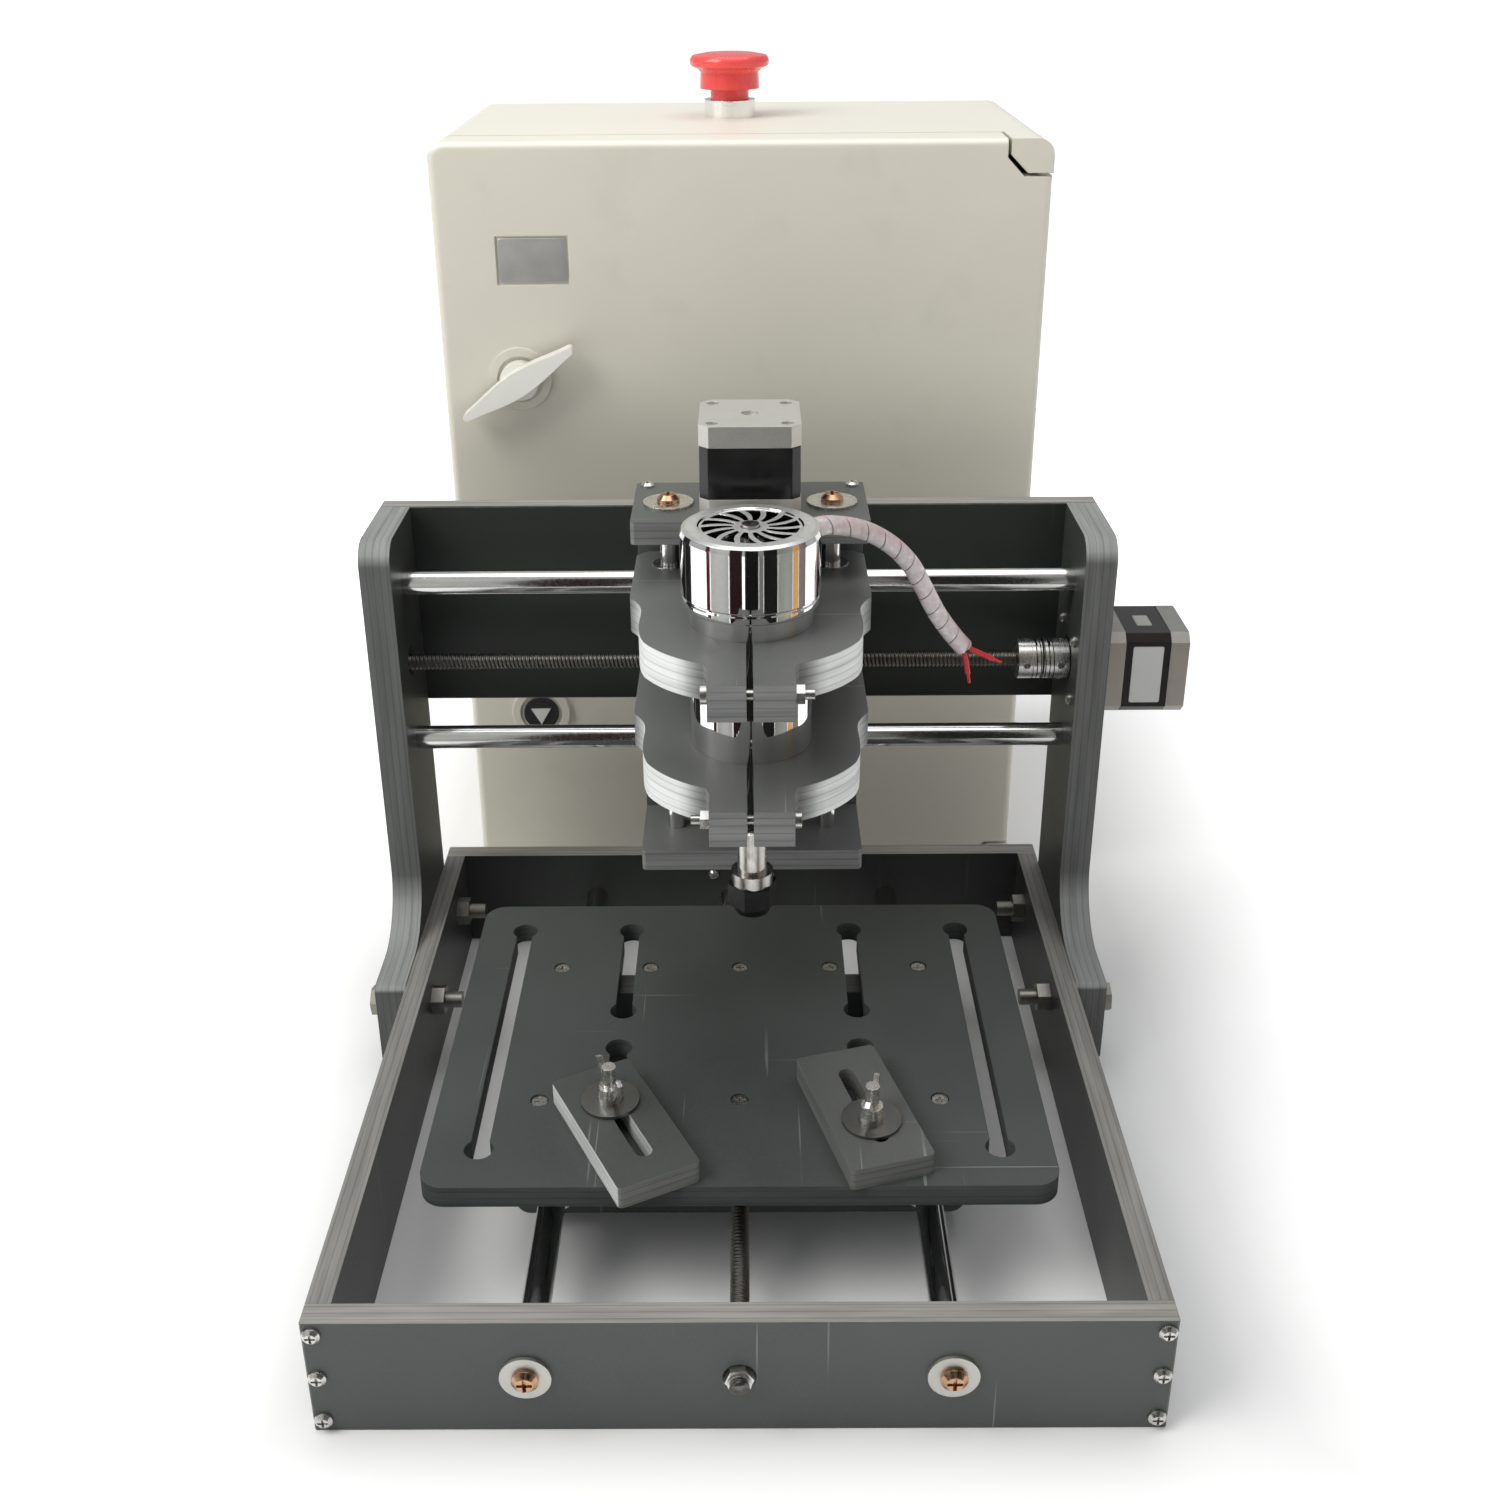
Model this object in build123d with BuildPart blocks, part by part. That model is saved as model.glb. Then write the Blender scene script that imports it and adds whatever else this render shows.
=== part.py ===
from build123d import *
import os
from math import cos, sin, radians, degrees, sqrt, tan, acos

os.makedirs("parts", exist_ok=True)

# ---------------------------------------------------------------------------
# Desktop CNC router of routed PVC board with its free-standing control cabinet.
# Millimetres, +Z up. +X to the operator's right, +Y from the operator to the back.
# Working coordinates: x = 0 on the base's centre line, y = 0 on the front
# panel's face, z = 0 on the bench. at() shifts them to the centre of the
# footprint, which is the origin of every exported piece.
# ---------------------------------------------------------------------------
OX, OY = 17.35, 304.75

# base frame
BASE_W, BASE_D, BASE_H = 330.0, 350.0, 55.0
BOARD = 10.0                      # thin PVC board
PLATE = 15.0                      # thick PVC board
# guide rods and screws
ROD_R = 6.0
Y_ROD_X, Y_ROD_Z = 81.5, 28.0
Y_SCREW_Z = 27.0
SCREW_R = 4.0                     # T8 leadscrew
RUN = 0.05                        # radial running clearance
# gantry
G_FOOT_Y, G_FRONT_Y, G_BACK_Y = 213.0, 272.0, 330.0
G_FOOT_Z0, G_FOOT_Z1, G_TOP_Z = 11.0, 55.5, 264.5
BEAM_Z0, BEAM_Z1 = 157.5, 264.5
X_ROD_Y, X_SCREW_Z, X_ROD_DZ = 298.0, 193.4, 42.5
GBOLT = [(228.0, 38.0), (310.0, 38.0)]
# motors (42 mm frame)
M = 42.3
M_LEN = 40.0
M_PITCH = 15.5
# z carriage
CX = 6.0                          # where the carriage stands along x
Z_PL_Y0, Z_PL_Y1 = 188.0, 241.0
Z_TOP, Z_BOT = 305.0, 137.5       # top of the top plate, underside of the bottom plate
Z_ROD_DX, Z_ROD_Y, Z_SCREW_Y = 35.0, 212.0, 210.5
# spindle
SY = 150.0
BODY_R, CAP_R = 25.0, 28.0
UC_Z, LC_Z = 277.5, 224.5         # tops of the two clamp plates
# table
T_Z0, T_Z1 = 56.0, 66.0
T_X, T_Y0, T_Y1 = 131.0, 60.5, 270.0
BP_Y = (115.0, 215.0)             # bearing plate centres
# cabinet
K_X0, K_X1 = -158.5, 162.5
K_H = 430.0
D_Y0, D_Y1 = 415.0, 444.0         # door
K_Y0, K_Y1 = 445.2, 615.0         # shell
DOOR_AXIS = (157.5, 421.0)
LATCH_X, LATCH_Z, LOCK_Z = -117.0, 308.0, 108.5
ES_X, ES_Y = -4.0, 530.0
CAM_Y = D_Y0 + 6.5                # front of the latch cams, inside the door


def at(x, y, z):
    return (x - OX, y - OY, z)


def block(x0, x1, y0, y1, z0, z1, mode=Mode.ADD):
    with Locations(at((x0 + x1) / 2, (y0 + y1) / 2, (z0 + z1) / 2)):
        Box(x1 - x0, y1 - y0, z1 - z0, mode=mode)


TURN = {"z": (0, 0, 0), "-z": (180, 0, 0), "x": (0, 90, 0), "-x": (0, -90, 0),
        "y": (-90, 0, 0), "-y": (90, 0, 0)}


def rod(x, y, z, r, length, axis="z", mode=Mode.ADD):
    with Locations(Location(at(x, y, z), TURN[axis])):
        Cylinder(r, length, align=(Align.CENTER, Align.CENTER, Align.MIN), mode=mode)


def cone(x, y, z, r0, r1, length, axis="z", mode=Mode.ADD):
    with Locations(Location(at(x, y, z), TURN[axis])):
        Cone(r0, r1, length, align=(Align.CENTER, Align.CENTER, Align.MIN), mode=mode)


def hexa(x, y, z, flats, length, axis="z", spin=0.0, mode=Mode.ADD):
    # a hexagonal prism, its flats the stated distance apart
    loc = Location(at(x, y, z), TURN[axis])
    with BuildSketch(Plane(loc)) as sk:
        RegularPolygon(flats / 2, 6, major_radius=False, rotation=spin)
    extrude(sk.sketch, amount=length, mode=mode)


def pan_screw(x, y, z, axis, head_r, head_h, shank_r, length, slot=True):
    # pan head whose underside is at the point; the shank runs along axis
    back = axis[1:] if axis.startswith("-") else "-" + axis
    rod(x, y, z, shank_r, length, axis)
    rod(x, y, z, head_r, head_h * 0.45, back)
    s = {"x": (1, 0, 0), "-x": (-1, 0, 0), "y": (0, 1, 0), "-y": (0, -1, 0),
         "z": (0, 0, 1), "-z": (0, 0, -1)}[back]
    k = head_h * 0.45
    cone(x + s[0] * k, y + s[1] * k, z + s[2] * k, head_r, head_r * 0.62, head_h * 0.55, back)
    if slot:
        w, d, l = head_r * 0.26, head_h * 0.6, head_r * 1.15
        c = head_h - d / 2 + 0.02
        px, py, pz = x + s[0] * c, y + s[1] * c, z + s[2] * c
        with Locations(Location(at(px, py, pz), TURN[back])):
            Box(l, w, d, mode=Mode.SUBTRACT)
            Box(w, l, d, mode=Mode.SUBTRACT)


def ring(x, y, z, r_out, r_in, length, axis="z"):
    loc = Location(at(x, y, z), TURN[axis])
    with BuildSketch(Plane(loc)) as sk:
        Circle(r_out)
        Circle(r_in, mode=Mode.SUBTRACT)
    extrude(sk.sketch, amount=length)


# ---------------------------------------------------------------------------
# Fasteners of the fixed frame. They are made first, so that the boards can be
# cut to receive them.
# ---------------------------------------------------------------------------
WALL_X = BASE_W / 2 - BOARD / 2 + 0.8
with BuildPart() as frame_screws:
    for sx in (-1, 1):
        for z in (49.5, 27.7, 5.8):
            pan_screw(sx * WALL_X, 0, z, "y", 3.6, 2.4, 1.6, 26)
            pan_screw(sx * WALL_X, BASE_D, z, "-y", 3.6, 2.4, 1.6, 26)
        # beam to the back edges of the gantry plates
        for z in (168.0, 226.0, 252.0):
            pan_screw(sx * 172.5, G_BACK_Y + BOARD, z, "-y", 3.6, 2.4, 1.6, 26)
    # x motor, through the right gantry plate from inside
    for dy in (-M_PITCH, M_PITCH):
        for dz in (-M_PITCH, M_PITCH):
            pan_screw(BASE_W / 2, X_ROD_Y + dy, X_SCREW_Z + dz, "x", 2.9, 2.2, 1.5, PLATE + 4)
            # y motor, through the rear panel from inside
            pan_screw(dy, BASE_D - BOARD, Y_SCREW_Z + dz, "y", 2.9, 2.2, 1.5, BOARD + 4)

with BuildPart() as rod_end_screws:
    for sx in (-1, 1):
        pan_screw(sx * Y_ROD_X, -1.5, Y_ROD_Z, "y", 5.3, 3.4, 2.5, BOARD + 13.5)
        pan_screw(sx * Y_ROD_X, BASE_D + 1.5, Y_ROD_Z, "-y", 5.3, 3.4, 2.5, BOARD + 13.5)
        for dz in (-X_ROD_DZ, X_ROD_DZ):
            pan_screw(sx * (BASE_W / 2 + PLATE + 1.5), X_ROD_Y, X_SCREW_Z + dz,
                      "-x" if sx > 0 else "x", 5.3, 3.4, 2.5, PLATE + 13.5)

with BuildPart() as rod_end_washers:
    for sx in (-1, 1):
        ring(sx * Y_ROD_X, -1.5, Y_ROD_Z, 10, 2.6, 1.5, "y")
        ring(sx * Y_ROD_X, BASE_D, Y_ROD_Z, 10, 2.6, 1.5, "y")
        for dz in (-X_ROD_DZ, X_ROD_DZ):
            ring(BASE_W / 2 + PLATE if sx > 0 else -(BASE_W / 2 + PLATE + 1.5), X_ROD_Y,
                 X_SCREW_Z + dz, 10, 2.6, 1.5, "x")

with BuildPart() as gantry_bolts:
    # hex bolts through gantry plate and side wall, with washer and nut inside
    for sx in (-1, 1):
        ax = "-x" if sx > 0 else "x"
        for (y, z) in GBOLT:
            o = BASE_W / 2 + PLATE
            hexa(sx * (o + 5.3), y, z, 13.0, 5.3, ax, 12)
    for sx in (-1, 1):
        ax = "-x" if sx > 0 else "x"
        for (y, z) in GBOLT:
            i = BASE_W / 2 - BOARD
            hexa(sx * i, y, z, 13.0, 6.5, ax, 20 if y > 250 else 5)
            rod(sx * (i + 1), y, z, 4.02, 9, ax, Mode.SUBTRACT)
    for sx in (-1, 1):
        ax = "-x" if sx > 0 else "x"
        for (y, z) in GBOLT:
            rod(sx * (BASE_W / 2 + PLATE), y, z, 4.0, PLATE + BOARD + 15.0, ax)

# ---------------------------------------------------------------------------
# Base frame
# ---------------------------------------------------------------------------
with BuildPart() as screw_end_bearings:
    # y screw, front panel, and x screw, left gantry plate: 16 x 8 x 5 bearings
    ring(0, BOARD - 5, Y_SCREW_Z, 8.0, SCREW_R + RUN, 5, "y")
    ring(-BASE_W / 2 - 5, X_ROD_Y, X_SCREW_Z, 8.0, SCREW_R + RUN, 5, "x")

with BuildPart() as front_panel:
    block(-BASE_W / 2, BASE_W / 2, 0, BOARD, 0, BASE_H)
    edges_v = front_panel.edges().filter_by(Axis.Z)
    chamfer(edges_v, 0.6)
    rod(0, -1, Y_SCREW_Z, 6.6, 12, "y", Mode.SUBTRACT)
    rod(0, BOARD - 5, Y_SCREW_Z, 8.0, 6, "y", Mode.SUBTRACT)
    add(frame_screws.part, mode=Mode.SUBTRACT)
    add(rod_end_screws.part, mode=Mode.SUBTRACT)

with BuildPart() as rear_panel:
    block(-BASE_W / 2, BASE_W / 2, BASE_D - BOARD, BASE_D, 0, BASE_H)
    chamfer(rear_panel.edges().filter_by(Axis.Z), 0.6)
    rod(0, BASE_D - BOARD - 1, Y_SCREW_Z, 11.3, 12, "y", Mode.SUBTRACT)
    add(frame_screws.part, mode=Mode.SUBTRACT)
    add(rod_end_screws.part, mode=Mode.SUBTRACT)

with BuildPart() as left_side_wall:
    block(-BASE_W / 2, -BASE_W / 2 + BOARD, BOARD, BASE_D - BOARD, 0, BASE_H)
    add(frame_screws.part, mode=Mode.SUBTRACT)
    add(gantry_bolts.part, mode=Mode.SUBTRACT)

with BuildPart() as right_side_wall:
    block(BASE_W / 2 - BOARD, BASE_W / 2, BOARD, BASE_D - BOARD, 0, BASE_H)
    add(frame_screws.part, mode=Mode.SUBTRACT)
    add(gantry_bolts.part, mode=Mode.SUBTRACT)

with BuildPart() as guide_rods:
    # four equal 12 mm rods: two under the table, two across the gantry
    for sx in (-1, 1):
        rod(sx * Y_ROD_X, BOARD, Y_ROD_Z, ROD_R, BASE_D - 2 * BOARD, "y")
    for dz in (-X_ROD_DZ, X_ROD_DZ):
        rod(-BASE_W / 2, X_ROD_Y, X_SCREW_Z + dz, ROD_R, BASE_W, "x")
    add(rod_end_screws.part, mode=Mode.SUBTRACT)

# ---------------------------------------------------------------------------
# Gantry
# ---------------------------------------------------------------------------


def gantry_plate(plane):
    with BuildSketch(plane) as sk:
        with BuildLine():
            Polyline((G_FOOT_Y - OY, G_FOOT_Z0), (G_FOOT_Y - OY, G_FOOT_Z1), (G_FRONT_Y - OY, G_FOOT_Z1),
                     (G_FRONT_Y - OY, G_TOP_Z), (G_BACK_Y - OY, G_TOP_Z), (G_BACK_Y - OY, G_FOOT_Z0), close=True)
        make_face()
        # rounded corners; the foot runs into the column in a wide curve
        for (y, z, r) in ((G_FRONT_Y, G_FOOT_Z1, 32), (G_FRONT_Y, G_TOP_Z, 12), (G_FOOT_Y, G_FOOT_Z0, 3),
                          (G_FOOT_Y, G_FOOT_Z1, 3), (G_BACK_Y, G_FOOT_Z0, 3)):
            fillet(sk.vertices().sort_by_distance((y - OY, z, 0))[0], r)
    extrude(sk.sketch, amount=PLATE)


YZ_L = Plane(origin=(-BASE_W / 2 - PLATE - OX, 0, 0), x_dir=(0, 1, 0), z_dir=(1, 0, 0))
YZ_R = Plane(origin=(BASE_W / 2 - OX, 0, 0), x_dir=(0, 1, 0), z_dir=(1, 0, 0))

with BuildPart() as gantry_left_plate:
    gantry_plate(YZ_L)
    rod(-BASE_W / 2 - 5, X_ROD_Y, X_SCREW_Z, 8.0, 6, "x", Mode.SUBTRACT)
    rod(-BASE_W / 2 - 9, X_ROD_Y, X_SCREW_Z, 5.0, 6, "x", Mode.SUBTRACT)
    add(frame_screws.part, mode=Mode.SUBTRACT)
    add(rod_end_screws.part, mode=Mode.SUBTRACT)
    add(gantry_bolts.part, mode=Mode.SUBTRACT)

with BuildPart() as gantry_right_plate:
    gantry_plate(YZ_R)
    rod(BASE_W / 2 - 1, X_ROD_Y, X_SCREW_Z, 11.3, 17, "x", Mode.SUBTRACT)
    add(frame_screws.part, mode=Mode.SUBTRACT)
    add(rod_end_screws.part, mode=Mode.SUBTRACT)
    add(gantry_bolts.part, mode=Mode.SUBTRACT)

with BuildPart() as gantry_beam:
    block(-BASE_W / 2 - PLATE, BASE_W / 2 + PLATE, G_BACK_Y, G_BACK_Y + BOARD, BEAM_Z0, BEAM_Z1)
    chamfer(gantry_beam.edges().filter_by(Axis.X), 0.5)
    add(frame_screws.part, mode=Mode.SUBTRACT)

# ---------------------------------------------------------------------------
# Stepper motors: black lamination stack between two cast end caps
# ---------------------------------------------------------------------------


def motor_prism(x, y, z, axis, length, side, cut):
    loc = Location(at(x, y, z), TURN[axis])
    with BuildSketch(Plane(loc)) as sq:
        Rectangle(side, side)
        chamfer(sq.vertices(), cut)
    extrude(sq.sketch, amount=length)


with BuildPart() as motor_cores:
    motor_prism(BASE_W / 2 + PLATE + 9, X_ROD_Y, X_SCREW_Z, "x", 22, M - 0.5, 3.6)
    motor_prism(0, BASE_D + 9, Y_SCREW_Z, "y", 22, M - 0.5, 3.6)

with BuildPart() as motor_caps:
    for (x, y, z, a) in ((BASE_W / 2 + PLATE, X_ROD_Y, X_SCREW_Z, "x"), (0, BASE_D, Y_SCREW_Z, "y")):
        motor_prism(x, y, z, a, 9, M, 4.2)
        dx, dy = (31, 0) if a == "x" else (0, 31)
        motor_prism(x + dx, y + dy, z, a, 9, M, 4.2)
        # pilot boss in the board's hole
        rod(x, y, z, 11.0, 2, "-" + a)
        # shaft bore, through the front cap
        bx, by = (-3, 0) if a == "x" else (0, -3)
        rod(x + bx, y + by, z, 2.6, 13, a, Mode.SUBTRACT)
        rx, ry = (38.4, 0) if a == "x" else (0, 38.4)
        rod(x + rx, y + ry, z, 3.2, 3, a, Mode.SUBTRACT)
        # corner screw heads sunk in the rear cap
        for u in (-M_PITCH, M_PITCH):
            for w in (-M_PITCH, M_PITCH):
                if a == "x":
                    rod(x + 38.2, y + u, z + w, 2.3, 3, a, Mode.SUBTRACT)
                else:
                    rod(x + u, y + 38.2, z + w, 2.3, 3, a, Mode.SUBTRACT)
    add(frame_screws.part, mode=Mode.SUBTRACT)

# ---------------------------------------------------------------------------
# Screws with couplings. Each turns with its motor's shaft.
# ---------------------------------------------------------------------------


def coupling(x, y, z, axis, shaft_to):
    # clamp coupling with three spring cuts; bored 8 mm for the screw, 5 mm for the shaft
    rod(x, y, z, 10.0, 25, axis)
    s = (1, 0, 0) if axis == "x" else ((0, 1, 0) if axis == "y" else (0, 0, 1))
    rod(x - s[0], y - s[1], z - s[2], SCREW_R + 0.02, 13, axis, Mode.SUBTRACT)
    rod(x + s[0] * 12, y + s[1] * 12, z + s[2] * 12, 2.52, 14, axis, Mode.SUBTRACT)
    for k, q in ((9.0, 1), (12.2, -1), (15.4, 1)):
        c = (x + s[0] * k, y + s[1] * k, z + s[2] * k)
        off = 3.2 * q
        p = (c[0], c[1] + (off if axis == "x" else 0), c[2] + (off if axis == "y" else 0)) if axis != "z" \
            else (c[0], c[1] + off, c[2])
        dims = {"x": (0.8, 16.0, 22.0), "y": (22.0, 0.8, 16.0), "z": (22.0, 16.0, 0.8)}[axis]
        with Locations(at(*p)):
            Box(*dims, mode=Mode.SUBTRACT)
    # set screws
    for k in (4.0, 21.0):
        if axis == "x":
            rod(x + k, y, z + 6, 1.6, 6, "z", Mode.SUBTRACT)
            rod(x + k, y - 6, z, 1.6, 6, "-y", Mode.SUBTRACT)
        elif axis == "y":
            rod(x, y + k, z + 6, 1.6, 6, "z", Mode.SUBTRACT)
        else:
            rod(x, y - 6, z + k, 1.6, 6, "-y", Mode.SUBTRACT)


XC0 = 139.5
with BuildPart() as x_leadscrew:
    rod(-BASE_W / 2 - 4, X_ROD_Y, X_SCREW_Z, SCREW_R, XC0 + 12 + BASE_W / 2 + 4, "x")

with BuildPart() as x_coupling:
    coupling(XC0, X_ROD_Y, X_SCREW_Z, "x", 0)
    # motor shaft
    rod(XC0 + 13.5, X_ROD_Y, X_SCREW_Z, 2.5, 184 - XC0 - 13.5, "x")

YC0 = 313.0
with BuildPart() as y_leadscrew:
    rod(0, 3.0, Y_SCREW_Z, SCREW_R, YC0 + 12 - 3.0, "y")
    # reduced front end that carries the locknut
    rod(0, -5.5, Y_SCREW_Z, 3.0, 8.6, "y")

with BuildPart() as y_coupling_and_locknut:
    coupling(0, YC0, Y_SCREW_Z, "y", 0)
    rod(0, YC0 + 13.5, Y_SCREW_Z, 2.5, 354 - YC0 - 13.5, "y")
    # nyloc nut outside the front bearing
    hexa(0, 2.8, Y_SCREW_Z, 10.0, 5.0, "-y", 8)
    rod(0, -2.2, Y_SCREW_Z, 4.6, 1.6, "-y")
    rod(0, -6, Y_SCREW_Z, 3.0, 10, "y", Mode.SUBTRACT)

ZC0 = 268.0
with BuildPart() as z_leadscrew_and_coupling:
    coupling(CX, Z_SCREW_Y, ZC0, "z", 0)
    rod(CX, Z_SCREW_Y, Z_BOT + 1, SCREW_R, ZC0 + 12 - Z_BOT - 1, "z")
    rod(CX, Z_SCREW_Y, ZC0 + 13.5, 2.5, Z_TOP + 4 - ZC0 - 13.5, "z")

# ---------------------------------------------------------------------------
# Table: slotted board on two bearing plates
# ---------------------------------------------------------------------------
SCREW_XS = (-87.0, -43.8, 0.0, 43.8, 87.0)
with BuildPart() as table_screws:
    for y in BP_Y:
        for x in SCREW_XS:
            rod(x, y, T_Z1 - 3.4, 3.5, 2.8, "z")
            rod(x, y, T_Z1 - 3.4, 1.6, 18.5, "-z")
            with Locations(at(x, y, T_Z1 - 0.9)):
                Box(4.2, 1.0, 1.6, mode=Mode.SUBTRACT)
                Box(1.0, 4.2, 1.6, mode=Mode.SUBTRACT)

SLOT_W = 7.8
LONG_SLOT_X, SHORT_SLOT_X = 108.8, 54.8
with BuildPart() as table_top:
    with BuildSketch(Plane.XY.offset(T_Z0)) as tt:
        with Locations((-OX, (T_Y0 + T_Y1) / 2 - OY)):
            RectangleRounded(2 * T_X, T_Y1 - T_Y0, 10.5)
        for sx in (-1, 1):
            for (x, y0, y1) in ((LONG_SLOT_X, 83.5, 247.0), (SHORT_SLOT_X, 84.0, 151.5),
                                (SHORT_SLOT_X, 179.5, 247.0)):
                with Locations((sx * x - OX, (y0 + y1) / 2 - OY)):
                    Rectangle(SLOT_W, y1 - y0, mode=Mode.SUBTRACT)
                with Locations((sx * x - OX, y0 - OY), (sx * x - OX, y1 - OY)):
                    Circle(6.2, mode=Mode.SUBTRACT)
    extrude(amount=T_Z1 - T_Z0)
    rim = table_top.edges().filter_by(GeomType.LINE).filter_by(Axis.X)
    for y in BP_Y:
        for x in SCREW_XS:
            rod(x, y, T_Z1 - 3.4, 4.0, 5, "z", Mode.SUBTRACT)
            rod(x, y, T_Z0 - 1, 1.6, 10, "z", Mode.SUBTRACT)

with BuildPart() as table_bearing_plates:
    for i, y in enumerate(BP_Y):
        with BuildSketch(Plane(origin=at(0, y + PLATE / 2, 0), x_dir=(1, 0, 0), z_dir=(0, -1, 0))) as bp:
            with Locations((0, (9.5 + T_Z0) / 2)):
                Rectangle(198, T_Z0 - 9.5)
            low = bp.vertices().group_by(Axis.Z)[0]
            fillet(low, 6)
            with Locations((-Y_ROD_X, Y_ROD_Z), (Y_ROD_X, Y_ROD_Z)):
                Circle(10.5, mode=Mode.SUBTRACT)
            with Locations((0, Y_SCREW_Z)):
                Circle(6.5 if i == 0 else 5.1, mode=Mode.SUBTRACT)
        extrude(amount=PLATE)
    for y in BP_Y:
        for x in SCREW_XS:
            rod(x, y, T_Z1 - 3.4, 1.6, 18.5, "-z", Mode.SUBTRACT)

with BuildPart() as table_bearings_and_nut:
    for y in BP_Y:
        for sx in (-1, 1):
            ring(sx * Y_ROD_X, y - 15, Y_ROD_Z, 10.5, ROD_R + RUN, 30, "y")
    # flanged nut in the rear plate
    ring(0, BP_Y[1] - PLATE / 2 - 3.5, Y_SCREW_Z, 11.0, SCREW_R + RUN, 3.5, "y")
    ring(0, BP_Y[1] - PLATE / 2, Y_SCREW_Z, 5.1, SCREW_R + RUN, PLATE + 3, "y")

# ---------------------------------------------------------------------------
# Hold-down clamps on the table: bolt from below, slotted bar, washer, wing nut
# ---------------------------------------------------------------------------
BAR_L, BAR_W, BAR_T = 75.0, 36.0, 10.0
GAP = 0.05
CLAMPS = {
    "left": ((-54.8, 102.0), 116.7, 14.3),
    "right": ((55.2, 88.6), 105.9, -10.6),
}


def bar_frame(name):
    (bx, by), ang, s = CLAMPS[name]
    # s: how far the bolt stands from the bar's middle, towards its rear end
    cx = bx - s * cos(radians(ang))
    cy = by - s * sin(radians(ang))
    return cx, cy, ang


def build_bar(name):
    cx, cy, ang = bar_frame(name)
    z0 = T_Z1 + GAP
    with BuildSketch(Plane(origin=at(cx, cy, z0), x_dir=(cos(radians(ang)), sin(radians(ang)), 0), z_dir=(0, 0, 1))) as sk:
        Rectangle(BAR_L, BAR_W)
        fillet(sk.vertices(), 2.0)
        SlotOverall(49.0, 7.2, mode=Mode.SUBTRACT)
    extrude(sk.sketch, amount=BAR_T)


def build_bolt(name):
    (bx, by), ang, s = CLAMPS[name]
    hexa(bx, by, T_Z0 - GAP - 4.0, 10.0, 4.0, "z", 0 if name == "left" else 30)
    rod(bx, by, T_Z0 - GAP, 3.0, 38.0, "z")


def build_washer(name):
    (bx, by), ang, s = CLAMPS[name]
    ring(bx, by, T_Z1 + 2 * GAP + BAR_T, 12.5, 3.1, 1.5, "z")


def build_wing(name, spin):
    (bx, by), ang, s = CLAMPS[name]
    z0 = T_Z1 + 3 * GAP + BAR_T + 1.5
    rod(bx, by, z0, 5.6, 2.2, "z")
    cone(bx, by, z0 + 2.2, 5.6, 4.6, 4.3, "z")
    for k in (0, 180):
        a = radians(spin + k)
        ux, uy = cos(a), sin(a)
        pl = Plane(origin=at(bx - uy * -1.1, by - ux * 1.1, 0), x_dir=(ux, uy, 0), z_dir=(uy, -ux, 0))
        with BuildSketch(pl) as wing:
            with BuildLine():
                Polyline((3.4, z0 + 1.2), (5.6, z0 + 2.4), (10.5, z0 + 9.5), (12.2, z0 + 14.0), (9.4, z0 + 15.2),
                         (6.8, z0 + 12.0), (3.4, z0 + 6.0), close=True)
            make_face()
        extrude(wing.sketch, amount=-2.2)
    rod(bx, by, z0 - 1, 3.05, 20, "z", Mode.SUBTRACT)


with BuildPart() as left_clamp_bar:
    build_bar("left")
with BuildPart() as right_clamp_bar:
    build_bar("right")
with BuildPart() as left_clamp_bolt:
    build_bolt("left")
with BuildPart() as right_clamp_bolt:
    build_bolt("right")
with BuildPart() as left_clamp_washer:
    build_washer("left")
with BuildPart() as right_clamp_washer:
    build_washer("right")
with BuildPart() as left_wing_nut:
    build_wing("left", 118)
with BuildPart() as right_wing_nut:
    build_wing("right", 75)

# ---------------------------------------------------------------------------
# Cross carriage: two bearing plates and a back plate that carries the z guides
# ---------------------------------------------------------------------------
XP_Y1 = 313.0
XP_Z0, XP_Z1 = 134.0, 253.0
XP_DX = 32.5
with BuildPart() as carriage_screws:
    # back plate to bearing plates, top and bottom plates to back plate, z motor,
    # and the wide washers under the screws of the z rods
    for sx in (-1, 1):
        ring(CX + sx * Z_ROD_DX, Z_ROD_Y, Z_TOP, 10.8, 2.1, 1.2, "z")
        ring(CX + sx * Z_ROD_DX, Z_ROD_Y, Z_BOT - 1.2, 10.8, 2.1, 1.2, "z")
    for sx in (-1, 1):
        for z in (158.0, 194.0, 230.0):
            pan_screw(CX + sx * XP_DX, Z_PL_Y1 - BOARD, z, "y", 3.2, 2.0, 1.6, BOARD + 16)
        pan_screw(CX + sx * 45, Z_PL_Y1 - 5, Z_TOP, "-z", 2.9, 1.9, 1.5, BOARD + 14)
        pan_screw(CX + sx * 45, Z_PL_Y1 - 5, Z_BOT, "z", 2.9, 1.9, 1.5, BOARD + 14)
        for dy in (-M_PITCH, M_PITCH):
            pan_screw(CX + sx * M_PITCH, Z_SCREW_Y + dy, Z_TOP - BOARD, "z", 2.9, 1.9, 1.5, BOARD + 4)

with BuildPart() as z_rod_screws:
    for sx in (-1, 1):
        pan_screw(CX + sx * Z_ROD_DX, Z_ROD_Y, Z_TOP + 1.2, "-z", 4.9, 3.2, 2.0, 16)
        pan_screw(CX + sx * Z_ROD_DX, Z_ROD_Y, Z_BOT - 1.2, "z", 4.9, 3.2, 2.0, 16)

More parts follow.
